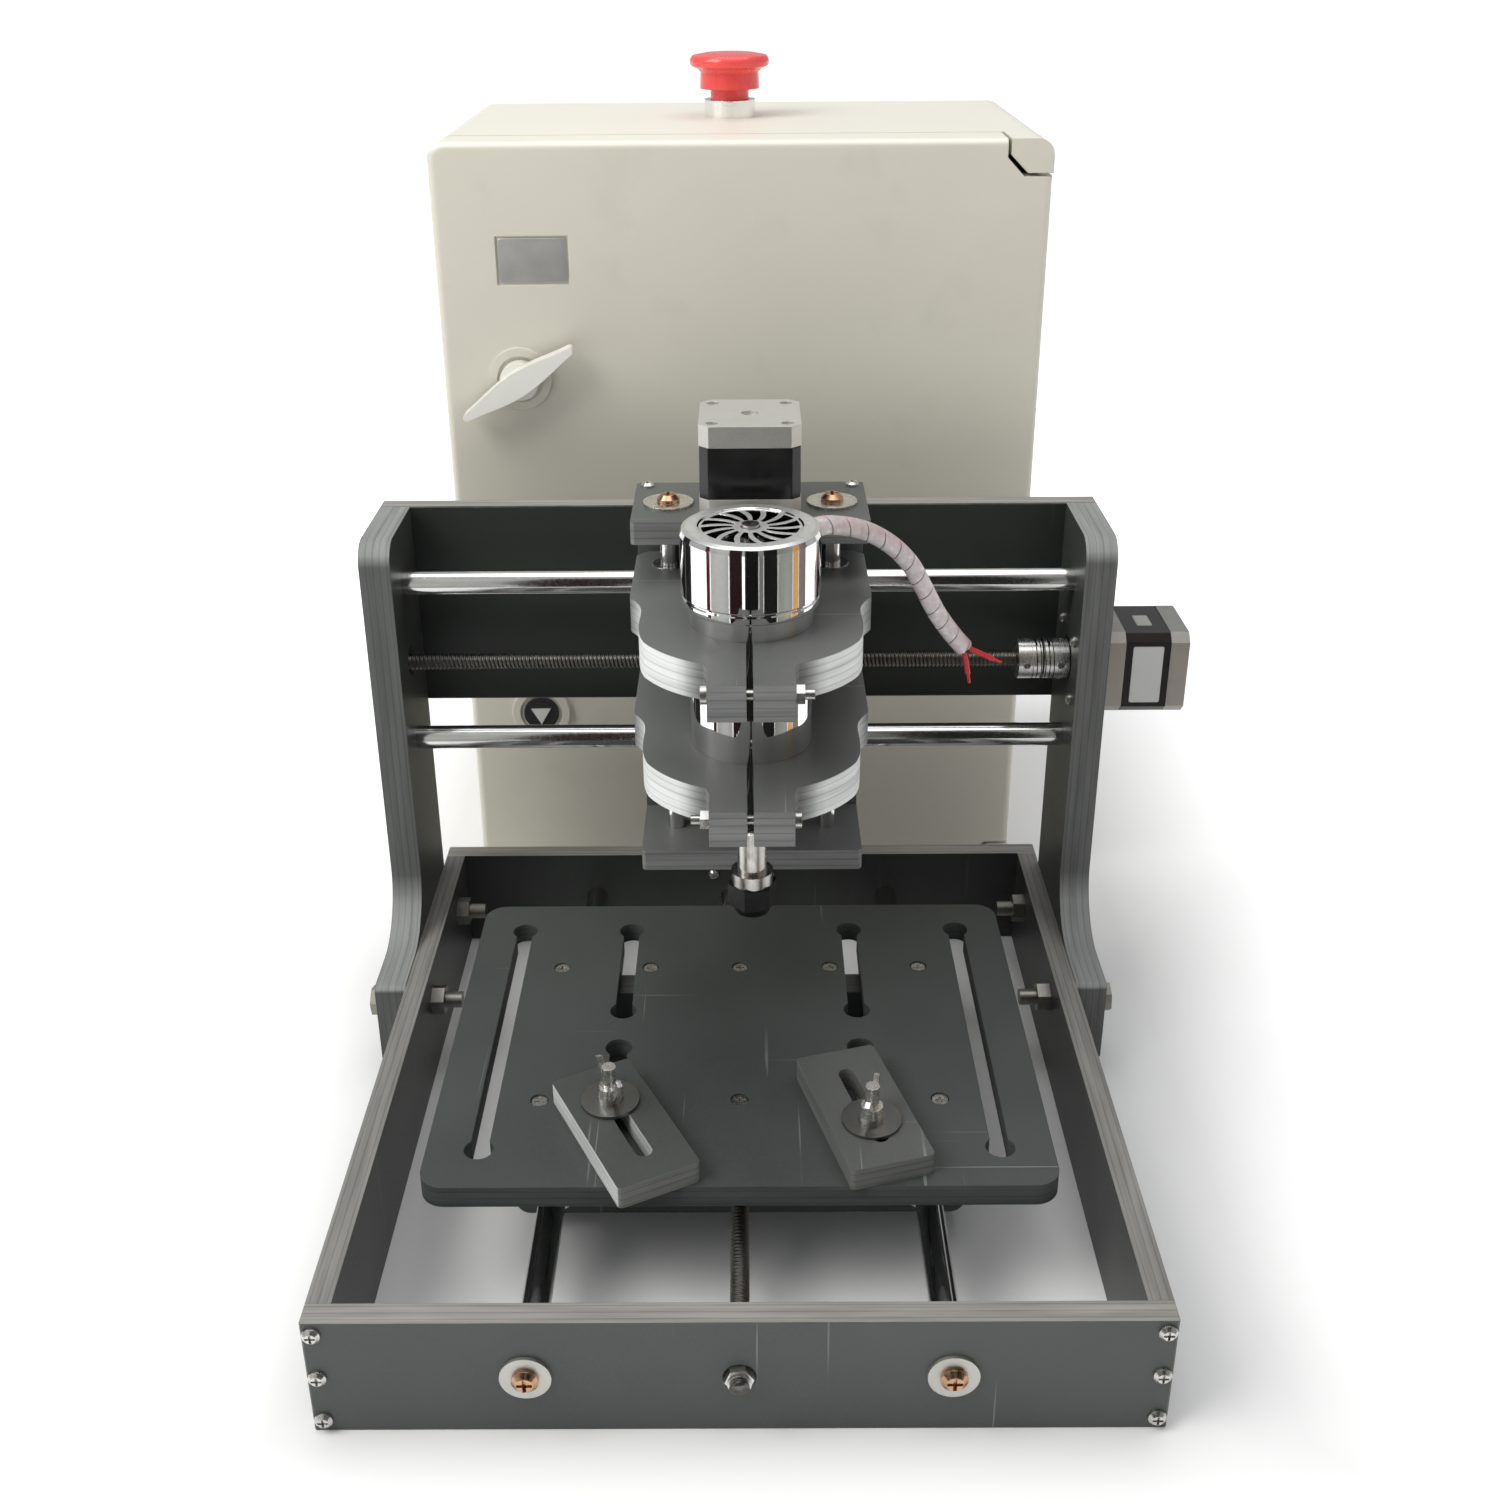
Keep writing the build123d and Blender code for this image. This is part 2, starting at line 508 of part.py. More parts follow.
with BuildPart() as x_carriage_plates:
    for sx in (-1, 1):
        x0 = CX + sx * XP_DX - PLATE / 2
        block(x0, x0 + PLATE, Z_PL_Y1 + 0.03, XP_Y1, XP_Z0, XP_Z1)
        for dz in (-X_ROD_DZ, X_ROD_DZ):
            rod(x0 - 1, X_ROD_Y, X_SCREW_Z + dz, 10.5, PLATE + 2, "x", Mode.SUBTRACT)
        rod(x0 - 1, X_ROD_Y, X_SCREW_Z, 5.1 if sx < 0 else 6.5, PLATE + 2, "x", Mode.SUBTRACT)
    block(CX - 50, CX + 50, Z_PL_Y1 - BOARD, Z_PL_Y1, Z_BOT + BOARD, Z_TOP - BOARD)
    add(carriage_screws.part, mode=Mode.SUBTRACT)

with BuildPart() as carriage_bearings_and_nut:
    for sx in (-1, 1):
        for dz in (-X_ROD_DZ, X_ROD_DZ):
            ring(CX + sx * XP_DX - 15, X_ROD_Y, X_SCREW_Z + dz, 10.5, ROD_R + RUN, 30, "x")
    ring(CX - XP_DX + PLATE / 2, X_ROD_Y, X_SCREW_Z, 11.0, SCREW_R + RUN, 3.5, "x")
    ring(CX - XP_DX - PLATE / 2 - 3, X_ROD_Y, X_SCREW_Z, 5.1, SCREW_R + RUN, PLATE + 3, "x")
    # bearing of the z screw's foot
    ring(CX, Z_SCREW_Y, Z_BOT + BOARD - 5, 8.0, SCREW_R + RUN, 5, "z")

with BuildPart() as z_top_plate:
    block(CX - 50, CX + 50, Z_PL_Y0, Z_PL_Y1, Z_TOP - BOARD, Z_TOP)
    chamfer(z_top_plate.edges().filter_by(Axis.Z), 1.5)
    rod(CX, Z_SCREW_Y, Z_TOP - 11, 11.3, 12, "z", Mode.SUBTRACT)
    for sx in (-1, 1):
        rod(CX + sx * Z_ROD_DX, Z_ROD_Y, Z_TOP - 11, SCREW_R, 12, "z", Mode.SUBTRACT)
    add(carriage_screws.part, mode=Mode.SUBTRACT)

with BuildPart() as z_bottom_plate:
    block(CX - 50, CX + 50, Z_PL_Y0, Z_PL_Y1, Z_BOT, Z_BOT + BOARD)
    chamfer(z_bottom_plate.edges().filter_by(Axis.Z), 1.5)
    rod(CX, Z_SCREW_Y, Z_BOT + BOARD - 5, 8.0, 6, "z", Mode.SUBTRACT)
    rod(CX, Z_SCREW_Y, Z_BOT + 0.6, 4.6, 6, "z", Mode.SUBTRACT)
    for sx in (-1, 1):
        rod(CX + sx * Z_ROD_DX, Z_ROD_Y, Z_BOT - 1, SCREW_R, 12, "z", Mode.SUBTRACT)
    add(carriage_screws.part, mode=Mode.SUBTRACT)

with BuildPart() as z_guide_rods:
    for sx in (-1, 1):
        rod(CX + sx * Z_ROD_DX, Z_ROD_Y, Z_BOT, 4.0, Z_TOP - Z_BOT, "z")
    add(z_rod_screws.part, mode=Mode.SUBTRACT)

with BuildPart() as z_motor_core:
    motor_prism(CX, Z_SCREW_Y, Z_TOP + 9, "z", 22, M - 0.5, 3.6)

with BuildPart() as z_motor_caps:
    motor_prism(CX, Z_SCREW_Y, Z_TOP, "z", 9, M, 4.2)
    motor_prism(CX, Z_SCREW_Y, Z_TOP + 31, "z", 9, M, 4.2)
    rod(CX, Z_SCREW_Y, Z_TOP, 11.0, 2, "-z")
    rod(CX, Z_SCREW_Y, Z_TOP - 3, 2.6, 13, "z", Mode.SUBTRACT)
    rod(CX, Z_SCREW_Y, Z_TOP + 38.2, 3.6, 3, "z", Mode.SUBTRACT)
    for u in (-M_PITCH, M_PITCH):
        for w in (-M_PITCH, M_PITCH):
            rod(CX + u, Z_SCREW_Y + w, Z_TOP + 38.2, 2.6, 3, "z", Mode.SUBTRACT)
    add(carriage_screws.part, mode=Mode.SUBTRACT)

# ---------------------------------------------------------------------------
# Spindle carriage: two equal clamp plates on four linear bearings
# ---------------------------------------------------------------------------


def clamp_plate(z_top):
    y0 = SY - OY
    right = [(50.0, 223.0), (50.0, 175.0), (48.6, 170.5), (45.8, 165.0), (44.4, 157.0), (44.6, 147.0), (44.2, 137.0),
             (41.8, 126.5)]
    arc_r = 48.0
    with BuildSketch(Plane.XY.offset(z_top - PLATE)) as sk:
        with BuildLine():
            pts = [(CX + x - OX, y - OY) for (x, y) in right]
            ptl = [(CX - x - OX, y - OY) for (x, y) in right]
            a0, a1 = pts[-1], (CX + 18.0 - OX, SY - 44.5 - OY)
            mid_a = (CX + 32.8 - OX, SY - 35.0 - OY)
            Polyline((CX + 45.0 - OX, 228.0 - OY), pts[0], pts[1])
            Spline(*pts[1:], tangents=[(0, -1), (-0.35, -1)])
            ThreePointArc(a0, mid_a, a1)
            Polyline(a1, (CX + 16.5 - OX, 101.0 - OY), (CX + 16.5 - OX, 86.0 - OY), (CX - 16.5 - OX, 86.0 - OY),
                     (CX - 16.5 - OX, 101.0 - OY), (CX - 18.0 - OX, SY - 44.5 - OY))
            b0, mid_b = ptl[-1], (CX - 32.8 - OX, SY - 35.0 - OY)
            ThreePointArc((CX - 18.0 - OX, SY - 44.5 - OY), mid_b, b0)
            Spline(*ptl[:0:-1], tangents=[(-0.35, 1), (0, 1)])
            Polyline(ptl[1], ptl[0], (CX - 45.0 - OX, 228.0 - OY), (CX + 45.0 - OX, 228.0 - OY))
        make_face()
        with Locations((CX - OX, SY - OY)):
            Circle(BODY_R, mode=Mode.SUBTRACT)
        # split between the two ears
        with Locations((CX - 0.6 - OX, (86.0 + SY) / 2 - 2 - OY)):
            Rectangle(2.6, SY - 86.0 + 4, mode=Mode.SUBTRACT)
        with Locations((CX - Z_ROD_DX - OX, Z_ROD_Y - OY), (CX + Z_ROD_DX - OX, Z_ROD_Y - OY)):
            Circle(7.5, mode=Mode.SUBTRACT)
        with Locations((CX - OX, Z_SCREW_Y - OY)):
            Circle(11.5 if z_top == UC_Z else 5.1, mode=Mode.SUBTRACT)
    extrude(sk.sketch, amount=PLATE)


with BuildPart() as spindle_clamp_bolts:
    # upper: head left, nut right; lower: nut left
    for (z, s) in ((UC_Z - 7.0, 1), (LC_Z - 7.0, -1)):
        ax = "x" if s > 0 else "-x"
        hexa(CX + s * 16.5, 93.0, z, 7.0, 3.4, ax, 0)
        rod(CX + s * 15, 93.0, z, 2.02, 6, ax, Mode.SUBTRACT)
        rod(CX - s * 16.5, 93.0, z, 2.0, 33.0 + 7.0, ax)
        rod(CX - s * 16.5, 93.0, z, 3.6, 2.6, "-x" if s > 0 else "x")

with BuildPart() as upper_spindle_clamp:
    clamp_plate(UC_Z)
    add(spindle_clamp_bolts.part, mode=Mode.SUBTRACT)

with BuildPart() as lower_spindle_clamp:
    clamp_plate(LC_Z)
    add(spindle_clamp_bolts.part, mode=Mode.SUBTRACT)

with BuildPart() as z_bearings_and_nut:
    for z in (UC_Z, LC_Z):
        for sx in (-1, 1):
            ring(CX + sx * Z_ROD_DX, Z_ROD_Y, z - 23.6, 7.5, SCREW_R + RUN, 24, "z")
    ring(CX, Z_SCREW_Y, LC_Z - PLATE - 3.5, 11.0, SCREW_R + RUN, 3.5, "z")
    ring(CX, Z_SCREW_Y, LC_Z - PLATE, 5.1, SCREW_R + RUN, PLATE + 1.5, "z")

NOSE_R = 6.25
with BuildPart() as spindle_housing:
    with BuildSketch(Plane(origin=at(CX, SY, 0), x_dir=(1, 0, 0), z_dir=(0, -1, 0))):
        with BuildLine():
            Polyline((NOSE_R + 0.08, 184.0), (12.0, 184.0), (12.0, 192.0), (BODY_R - 1.5, 192.0), (BODY_R, 193.5),
                     (BODY_R, 296.0), (22.2, 296.0), (22.2, 198.0), (NOSE_R + 0.08, 198.0), close=True)
        make_face()
    revolve(axis=Axis(at(CX, SY, 0), (0, 0, 1)))

N_VENT = 14
with BuildPart() as fan_cover:
    with BuildSketch(Plane(origin=at(CX, SY, 0), x_dir=(1, 0, 0), z_dir=(0, -1, 0))):
        with BuildLine():
            Polyline((BODY_R, 285.2), (26.6, 285.2), (27.4, 286.0), (27.4, 288.4), (26.9, 289.0), (26.9, 289.6),
                     (CAP_R, 290.4), (CAP_R, 314.2), (27.2, 316.2), (25.4, 317.0), (21.0, 317.0), (20.4, 316.4),
                     (3.9, 316.4), (3.9, 315.0), (20.0, 315.0), (26.6, 314.0), (26.6, 297.0), (BODY_R, 296.6), close=True)
        make_face()
    revolve(axis=Axis(at(CX, SY, 0), (0, 0, 1)))
    # swept vents in the top
    with BuildSketch(Plane(origin=at(CX, SY, 312.0), x_dir=(1, 0, 0), z_dir=(0, 0, 1))):
        for k in range(N_VENT):
            t = 360.0 / N_VENT * k

            def polar(r, a):
                return (r * cos(radians(t + a)), r * sin(radians(t + a)))

            with BuildLine():
                ThreePointArc(polar(7.2, -7), polar(13.4, -4.5), polar(19.4, 2))
                ThreePointArc(polar(19.4, 2), polar(19.4, 11.5), polar(19.4, 21))
                ThreePointArc(polar(19.4, 21), polar(13.4, 11.5), polar(7.2, 7))
                Line(polar(7.2, 7), polar(7.2, -7))
            make_face()
    extrude(amount=8, mode=Mode.SUBTRACT)

with BuildPart() as rotor_and_fan:
    rod(CX, SY, 155.0, NOSE_R, 50.0, "z")
    rod(CX, SY, 155.0, 9.0, 6.0, "z")
    rod(CX, SY, 205.0, 19.0, 70.0, "z")
    rod(CX, SY, 275.0, 3.5, 42.6, "z")
    # impeller
    rod(CX, SY, 299.0, 23.0, 1.6, "z")
    rod(CX, SY, 299.0, 6.2, 12.0, "z")
    with Locations(Location(at(CX, SY, 305.5))):
        with PolarLocations(14.0, 9):
            Box(16.5, 1.2, 11.5, rotation=(0, 0, 24))

with BuildPart() as collet_nut:
    hexa(CX, SY, 145.0, 18.6, 10.0, "z", 12)
    cone(CX, SY, 141.0, 7.4, 9.3, 4.0, "z")
    rod(CX, SY, 140.0, 1.6, 16, "z", Mode.SUBTRACT)

# ---------------------------------------------------------------------------
# Spindle lead: a wrapped pair that leaves the cover's side and ends bare
# ---------------------------------------------------------------------------
LEAD_R = 4.0
LEAD = [(30.70, 164.07, 310.6), (38.6, 168.4, 310.2), (51.5, 173.2, 306.4), (62.7, 177.0, 299.2),
        (71.7, 180.2, 289.4), (78.2, 183.0, 277.6), (84.4, 185.6, 265.2), (91.6, 187.8, 254.4), (97.4, 189.2, 247.2)]


def turn_radii(pts, k=0.45):
    out = []
    for a, b, c in zip(pts, pts[1:], pts[2:]):
        u = [b[i] - a[i] for i in range(3)]
        w = [c[i] - b[i] for i in range(3)]
        lu = sqrt(sum(q * q for q in u))
        lw = sqrt(sum(q * q for q in w))
        d = acos(max(-1.0, min(1.0, sum(p * q for p, q in zip(u, w)) / (lu * lw))))
        out.append(k * min(lu, lw) / tan(d / 2))
    return out


radii = turn_radii(LEAD)
print("lead radii", [round(r, 1) for r in radii])
lead_pts = [Vector(*at(*p)) for p in LEAD]
with BuildPart() as spindle_lead:
    with BuildLine() as lead_path:
        FilletPolyline(*lead_pts, radius=radii)
    lead_wire = lead_path.wires()[0]
    with BuildSketch(Plane(origin=lead_wire @ 0, z_dir=lead_wire % 0)):
        Circle(LEAD_R)
    sweep(path=lead_wire)
print("lead length", round(lead_wire.length, 2), "volume ratio",
      round(spindle_lead.part.volume / (3.14159265 * LEAD_R ** 2 * lead_wire.length), 4))
END_P, END_D = lead_wire @ 1, lead_wire % 1

with BuildPart() as lead_wires:
    side = END_D.cross(Vector(0, 1, 0)).normalized()
    up = side.cross(END_D).normalized()
    ends = [(END_D * 0.86 + side * 0.30 + up * 0.15, 13.0, 1.7), (END_D * 0.80 - side * 0.42 - up * 0.10, 10.0, -1.7)]
    for d, length, off in ends:
        p0 = END_P + side * off
        dn = d.normalized()
        with BuildSketch(Plane(origin=p0, z_dir=END_D)):
            Circle(1.2)
        extrude(amount=3.0)
        p1 = p0 + END_D * 3.0
        with BuildSketch(Plane(origin=p1 - dn * 0.4, z_dir=dn)):
            Circle(1.2)
        extrude(amount=length)
        with BuildSketch(Plane(origin=p1 + dn * (length - 0.5), z_dir=dn)):
            Circle(0.7)
        extrude(amount=4.5)

# ---------------------------------------------------------------------------
# Control cabinet
# ---------------------------------------------------------------------------
WALL = 3.0
with BuildPart() as cabinet_shell:
    block(K_X0, K_X1, K_Y0, K_Y1, 0, K_H)
    fillet(cabinet_shell.edges().filter_by(Axis.Y), 9)
    fillet(cabinet_shell.faces().sort_by(Axis.Y)[-1].edges(), 5)
    block(K_X0 + WALL, K_X1 - WALL, K_Y0 - 1, K_Y1 - WALL, WALL, K_H - WALL, Mode.SUBTRACT)
    # standoffs for the mounting plate
    for x in (K_X0 + 30, K_X1 - 30):
        for z in (45, K_H - 45):
            rod(x, K_Y1 - WALL, z, 6, 10, "-y")
    # hole for the stop switch
    rod(ES_X, ES_Y, K_H - 10, 11.0, 20, "z", Mode.SUBTRACT)

    # mounting plate, a separate sheet on the standoffs
    block(K_X0 + 16, K_X1 - 16, K_Y1 - WALL - 12, K_Y1 - WALL - 10.04, 24, K_H - 24)

MP_Y = K_Y1 - WALL - 12
with BuildPart() as power_supply:
    block(K_X0 + 36, K_X0 + 151, MP_Y - 50, MP_Y, 60, 275)
    block(K_X0 + 40, K_X0 + 147, MP_Y - 52, MP_Y - 30, 59, 80, Mode.SUBTRACT)
    # terminal strip
    block(K_X0 + 48, K_X0 + 139, MP_Y - 40, MP_Y - 30, 62, 76)

with BuildPart() as control_board:
    block(20, 135, MP_Y - 7.6, MP_Y - 6, 70, 230)
    for (x, z) in ((26, 76), (129, 76), (26, 224), (129, 224)):
        rod(x, MP_Y, z, 3, 6, "-y")
    for z in (90, 130, 170):
        # three stepper drivers under finned heat sinks
        block(35, 75, MP_Y - 11, MP_Y - 7.6, z, z + 30)
        for i in range(6):
            block(36 + i * 6.8, 38 + i * 6.8, MP_Y - 24, MP_Y - 11, z, z + 30)
    block(90, 120, MP_Y - 20, MP_Y - 7.6, 190, 215)
    for z in (95, 125, 155):
        rod(105, MP_Y - 7.6, z, 7, 18, "-y")

# hinge blocks with pins, in the two right-hand corners of the door opening
NOTCH_W, NOTCH_H, NOTCH_C = 22.0, 17.0, 9.0
with BuildPart() as cabinet_hinge_blocks:
    for (z0, z1, s) in ((K_H - NOTCH_H, K_H, 1), (0, NOTCH_H, -1)):
        with BuildSketch(Plane(origin=at(0, K_Y0, 0), x_dir=(1, 0, 0), z_dir=(0, -1, 0))) as hb:
            with BuildLine():
                zt, zb = (z1, z0) if s > 0 else (z0, z1)
                Polyline((K_X1 - NOTCH_W, zt), (K_X1, zt), (K_X1, zb), (K_X1 - NOTCH_W + NOTCH_C, zb),
                         (K_X1 - NOTCH_W, zb + s * NOTCH_C), close=True)
            make_face()
            fillet(hb.vertices().sort_by_distance((K_X1, zt, 0))[0], 8.5)
        extrude(amount=K_Y0 - D_Y0)
    for (z0, z1, s) in ((K_H - NOTCH_H, K_H, 1), (0, NOTCH_H, -1)):
        zb = z0 if s > 0 else z1
        rod(DOOR_AXIS[0], DOOR_AXIS[1], zb - s * 9, 2.0, 9.5, "z" if s > 0 else "-z")

CLR = 1.7
with BuildPart() as cabinet_door:
    block(K_X0, K_X1, D_Y0, D_Y1, 1.0, K_H)
    fillet(cabinet_door.edges().filter_by(Axis.Y), 9)
    fillet(cabinet_door.faces().sort_by(Axis.Y)[0].edges(), 4)
    block(K_X0 + WALL, K_X1 - WALL, D_Y0 + WALL, D_Y1 + 1, WALL + 1, K_H - WALL, Mode.SUBTRACT)
    # thick hinge corners
    for (z0, z1) in ((K_H - 40, K_H - 4), (5, 41)):
        block(K_X1 - 26, K_X1 - 2, D_Y0 + 2, D_Y0 + 14, z0, z1)
    # corner notches with clearance to the hinge blocks
    for s in (1, -1):
        zt = K_H + 1 if s > 0 else -1
        zb = (K_H - NOTCH_H - CLR) if s > 0 else (NOTCH_H + CLR)
        with BuildSketch(Plane(origin=at(0, D_Y1 + 2, 0), x_dir=(1, 0, 0), z_dir=(0, -1, 0))):
            with BuildLine():
                Polyline((K_X1 - NOTCH_W - CLR, zt), (K_X1 + 1, zt), (K_X1 + 1, zb), (K_X1 - NOTCH_W + NOTCH_C - CLR, zb),
                         (K_X1 - NOTCH_W - CLR, zb + s * (NOTCH_C + 0.5)), close=True)
            make_face()
        extrude(amount=D_Y1 - D_Y0 + 4, mode=Mode.SUBTRACT)
    for s in (1, -1):
        zb = (K_H - NOTCH_H) if s > 0 else NOTCH_H
        rod(DOOR_AXIS[0], DOOR_AXIS[1], zb - s * 11, 2.08, 14, "z" if s > 0 else "-z", Mode.SUBTRACT)
    # recess of the badge, and the holes of the latch and the lock
    block(-126, -88, D_Y0 - 1, D_Y0 + 1.2, 358, 383, Mode.SUBTRACT)
    for z in (LATCH_Z, LOCK_Z):
        rod(LATCH_X, D_Y0 - 1, z, 9.0, 6, "y", Mode.SUBTRACT)
    for z in (LATCH_Z, LOCK_Z):
        # raised round bosses
        with BuildSketch(Plane(origin=at(LATCH_X, D_Y0, z), x_dir=(1, 0, 0), z_dir=(0, -1, 0))):
            Circle(17.0)
            Circle(12.2, mode=Mode.SUBTRACT)
        extrude(amount=2.2)
        with BuildSketch(Plane(origin=at(LATCH_X, D_Y0, z), x_dir=(1, 0, 0), z_dir=(0, -1, 0))):
            Circle(14.0)
            Circle(9.0, mode=Mode.SUBTRACT)
        extrude(amount=0.9)

with BuildPart() as latch_handle:
    # quarter-turn latch: wing handle, spindle and cam
    a = radians(32)
    rod(LATCH_X, D_Y0 + 6.5, LATCH_Z, 8.6, 7.5, "-y")
    rod(LATCH_X, D_Y0 - 0.9, LATCH_Z, 10.4, 6.6, "-y")
    with BuildSketch(Plane(origin=at(LATCH_X, D_Y0 - 5.5, LATCH_Z), x_dir=(cos(a), 0, sin(a)), z_dir=(0, -1, 0))) as grip:
        with BuildLine():
            Spline((-33, -2.2), (-18, -4.6), (0, -6.6), (18, -4.6), (33, -2.2), tangents=[(1, -0.1), (1, 0.1)])
            ThreePointArc((33, -2.2), (35.2, 0), (33, 2.2))
            Spline((33, 2.2), (18, 4.6), (0, 6.6), (-18, 4.6), (-33, 2.2), tangents=[(-1, 0.1), (-1, -0.1)])
            ThreePointArc((-33, 2.2), (-35.2, 0), (-33, -2.2))
        make_face()
    extrude(amount=10)
    with BuildSketch(Plane(origin=at(LATCH_X, CAM_Y, LATCH_Z), x_dir=(cos(radians(122)), 0, sin(radians(122))),
                           z_dir=(0, 1, 0))):
        with Locations((12, 0)):
            SlotOverall(44, 15)
    extrude(amount=2.5)

with BuildPart() as lock_core:
    rod(LATCH_X, D_Y0 + 6.5, LOCK_Z, 8.6, 7.5, "-y")
    rod(LATCH_X, D_Y0 - 0.9, LOCK_Z, 10.2, 1.6, "-y")
    # raised triangle for the key, one point down
    with BuildSketch(Plane(origin=at(LATCH_X, D_Y0 - 2.5, LOCK_Z), x_dir=(1, 0, 0), z_dir=(0, -1, 0))) as tri:
        RegularPolygon(6.6, 3, rotation=-90)
    extrude(amount=1.2)
    with BuildSketch(Plane(origin=at(LATCH_X, CAM_Y, LOCK_Z), x_dir=(0, 0, 1), z_dir=(0, 1, 0))):
        with Locations((12, 0)):
            SlotOverall(44, 15)
    extrude(amount=2.5)

with BuildPart() as stop_collar:
    # threaded switch body through the roof, chrome collar outside, nut inside
    ring(ES_X, ES_Y, K_H - 3 - 24, 11.0, 8.0, 27, "z")
    with BuildSketch(Plane.XY.offset(K_H)):
        with Locations((ES_X - OX, ES_Y - OY)):
            Circle(14.5)
            Circle(11.2, mode=Mode.SUBTRACT)
    extrude(amount=9.5)
    ring(ES_X, ES_Y, K_H, 11.3, 8.0, 1.5, "z")
    ring(ES_X, ES_Y, K_H - 3 - 5, 14.5, 10.9, 5, "z")
    # contact block
    block(ES_X - 15, ES_X + 15, ES_Y - 20, ES_Y + 20, K_H - 3 - 54, K_H - 3 - 24)

with BuildPart() as stop_button:
    with BuildSketch(Plane(origin=at(ES_X, ES_Y, 0), x_dir=(1, 0, 0), z_dir=(0, -1, 0))) as mush:
        with BuildLine():
            Polyline((0, K_H - 20), (7.7, K_H - 20), (7.7, K_H + 7.0), (10.8, K_H + 7.0), (10.8, K_H + 15.4), (16.8, K_H + 15.4),
                     (16.4, K_H + 24.0), (18.5, K_H + 26.0), (21.8, K_H + 27.5))
            ThreePointArc((21.8, K_H + 27.5), (22.3, K_H + 30.2), (20.6, K_H + 33.0))
            Polyline((20.6, K_H + 33.0), (14, K_H + 34.2), (0, K_H + 34.6), (0, K_H - 20))
        make_face()
    revolve(axis=Axis(at(ES_X, ES_Y, 0), (0, 0, 1)))

pieces = {
    "front_panel": front_panel, "rear_panel": rear_panel, "left_side_wall": left_side_wall,
    "right_side_wall": right_side_wall, "frame_screws": frame_screws, "guide_rods": guide_rods,
    "rod_end_washers": rod_end_washers, "rod_end_screws": rod_end_screws,
    "screw_end_bearings": screw_end_bearings, "motor_cores": motor_cores, "motor_caps": motor_caps,
    "gantry_left_plate": gantry_left_plate, "gantry_right_plate": gantry_right_plate,
    "gantry_beam": gantry_beam, "gantry_bolts": gantry_bolts,
    "cabinet_shell": cabinet_shell, "power_supply": power_supply,
    "control_board": control_board, "cabinet_hinge_blocks": cabinet_hinge_blocks, "stop_collar": stop_collar,
    "cabinet_door": cabinet_door, "latch_handle": latch_handle, "lock_core": lock_core,
    "stop_button": stop_button,
    "table_top": table_top, "table_bearing_plates": table_bearing_plates,
    "table_bearings_and_nut": table_bearings_and_nut, "table_screws": table_screws,
    "left_clamp_bar": left_clamp_bar, "left_clamp_bolt": left_clamp_bolt, "left_clamp_washer": left_clamp_washer,
    "left_wing_nut": left_wing_nut,
    "right_clamp_bar": right_clamp_bar, "right_clamp_bolt": right_clamp_bolt,
    "right_clamp_washer": right_clamp_washer, "right_wing_nut": right_wing_nut,
    "x_carriage_plates": x_carriage_plates, "carriage_bearings_and_nut": carriage_bearings_and_nut,
    "carriage_screws": carriage_screws, "z_top_plate": z_top_plate, "z_bottom_plate": z_bottom_plate,
    "z_guide_rods": z_guide_rods, "z_rod_screws": z_rod_screws,
    "z_motor_core": z_motor_core, "z_motor_caps": z_motor_caps,
    "upper_spindle_clamp": upper_spindle_clamp, "lower_spindle_clamp": lower_spindle_clamp,
    "z_bearings_and_nut": z_bearings_and_nut, "spindle_clamp_bolts": spindle_clamp_bolts,
    "spindle_housing": spindle_housing, "fan_cover": fan_cover, "spindle_lead": spindle_lead,
    "lead_wires": lead_wires, "rotor_and_fan": rotor_and_fan, "collet_nut": collet_nut,
    "x_leadscrew": x_leadscrew, "x_coupling": x_coupling, "y_leadscrew": y_leadscrew,
    "y_coupling_and_locknut": y_coupling_and_locknut, "z_leadscrew_and_coupling": z_leadscrew_and_coupling,
}
print(len(pieces), "nodes")
for name, bp in pieces.items():
    bp.part.label = name
    export_step(bp.part, "parts/" + name + ".step")
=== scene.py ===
import bpy, bmesh, math
from mathutils import Matrix, Vector


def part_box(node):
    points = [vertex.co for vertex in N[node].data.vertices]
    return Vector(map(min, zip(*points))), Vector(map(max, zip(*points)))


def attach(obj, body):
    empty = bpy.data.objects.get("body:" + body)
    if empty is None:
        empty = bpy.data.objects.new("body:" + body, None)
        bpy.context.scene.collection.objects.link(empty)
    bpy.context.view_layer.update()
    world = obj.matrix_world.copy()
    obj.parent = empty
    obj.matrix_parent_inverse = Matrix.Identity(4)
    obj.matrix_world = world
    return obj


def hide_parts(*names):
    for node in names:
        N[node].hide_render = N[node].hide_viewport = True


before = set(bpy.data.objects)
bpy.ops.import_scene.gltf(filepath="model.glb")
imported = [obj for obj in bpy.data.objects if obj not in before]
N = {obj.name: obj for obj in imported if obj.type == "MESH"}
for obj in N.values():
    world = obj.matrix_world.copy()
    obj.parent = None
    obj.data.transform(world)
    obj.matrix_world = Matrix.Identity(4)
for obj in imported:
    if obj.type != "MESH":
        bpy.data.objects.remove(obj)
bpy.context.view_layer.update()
OX, OY = 17.35, 304.75


def mm(x, y, z):
    """a point given in millimetres from the base's front centre, in the row frame"""
    return Vector(((x - OX) / 1000, (y - OY) / 1000, z / 1000))


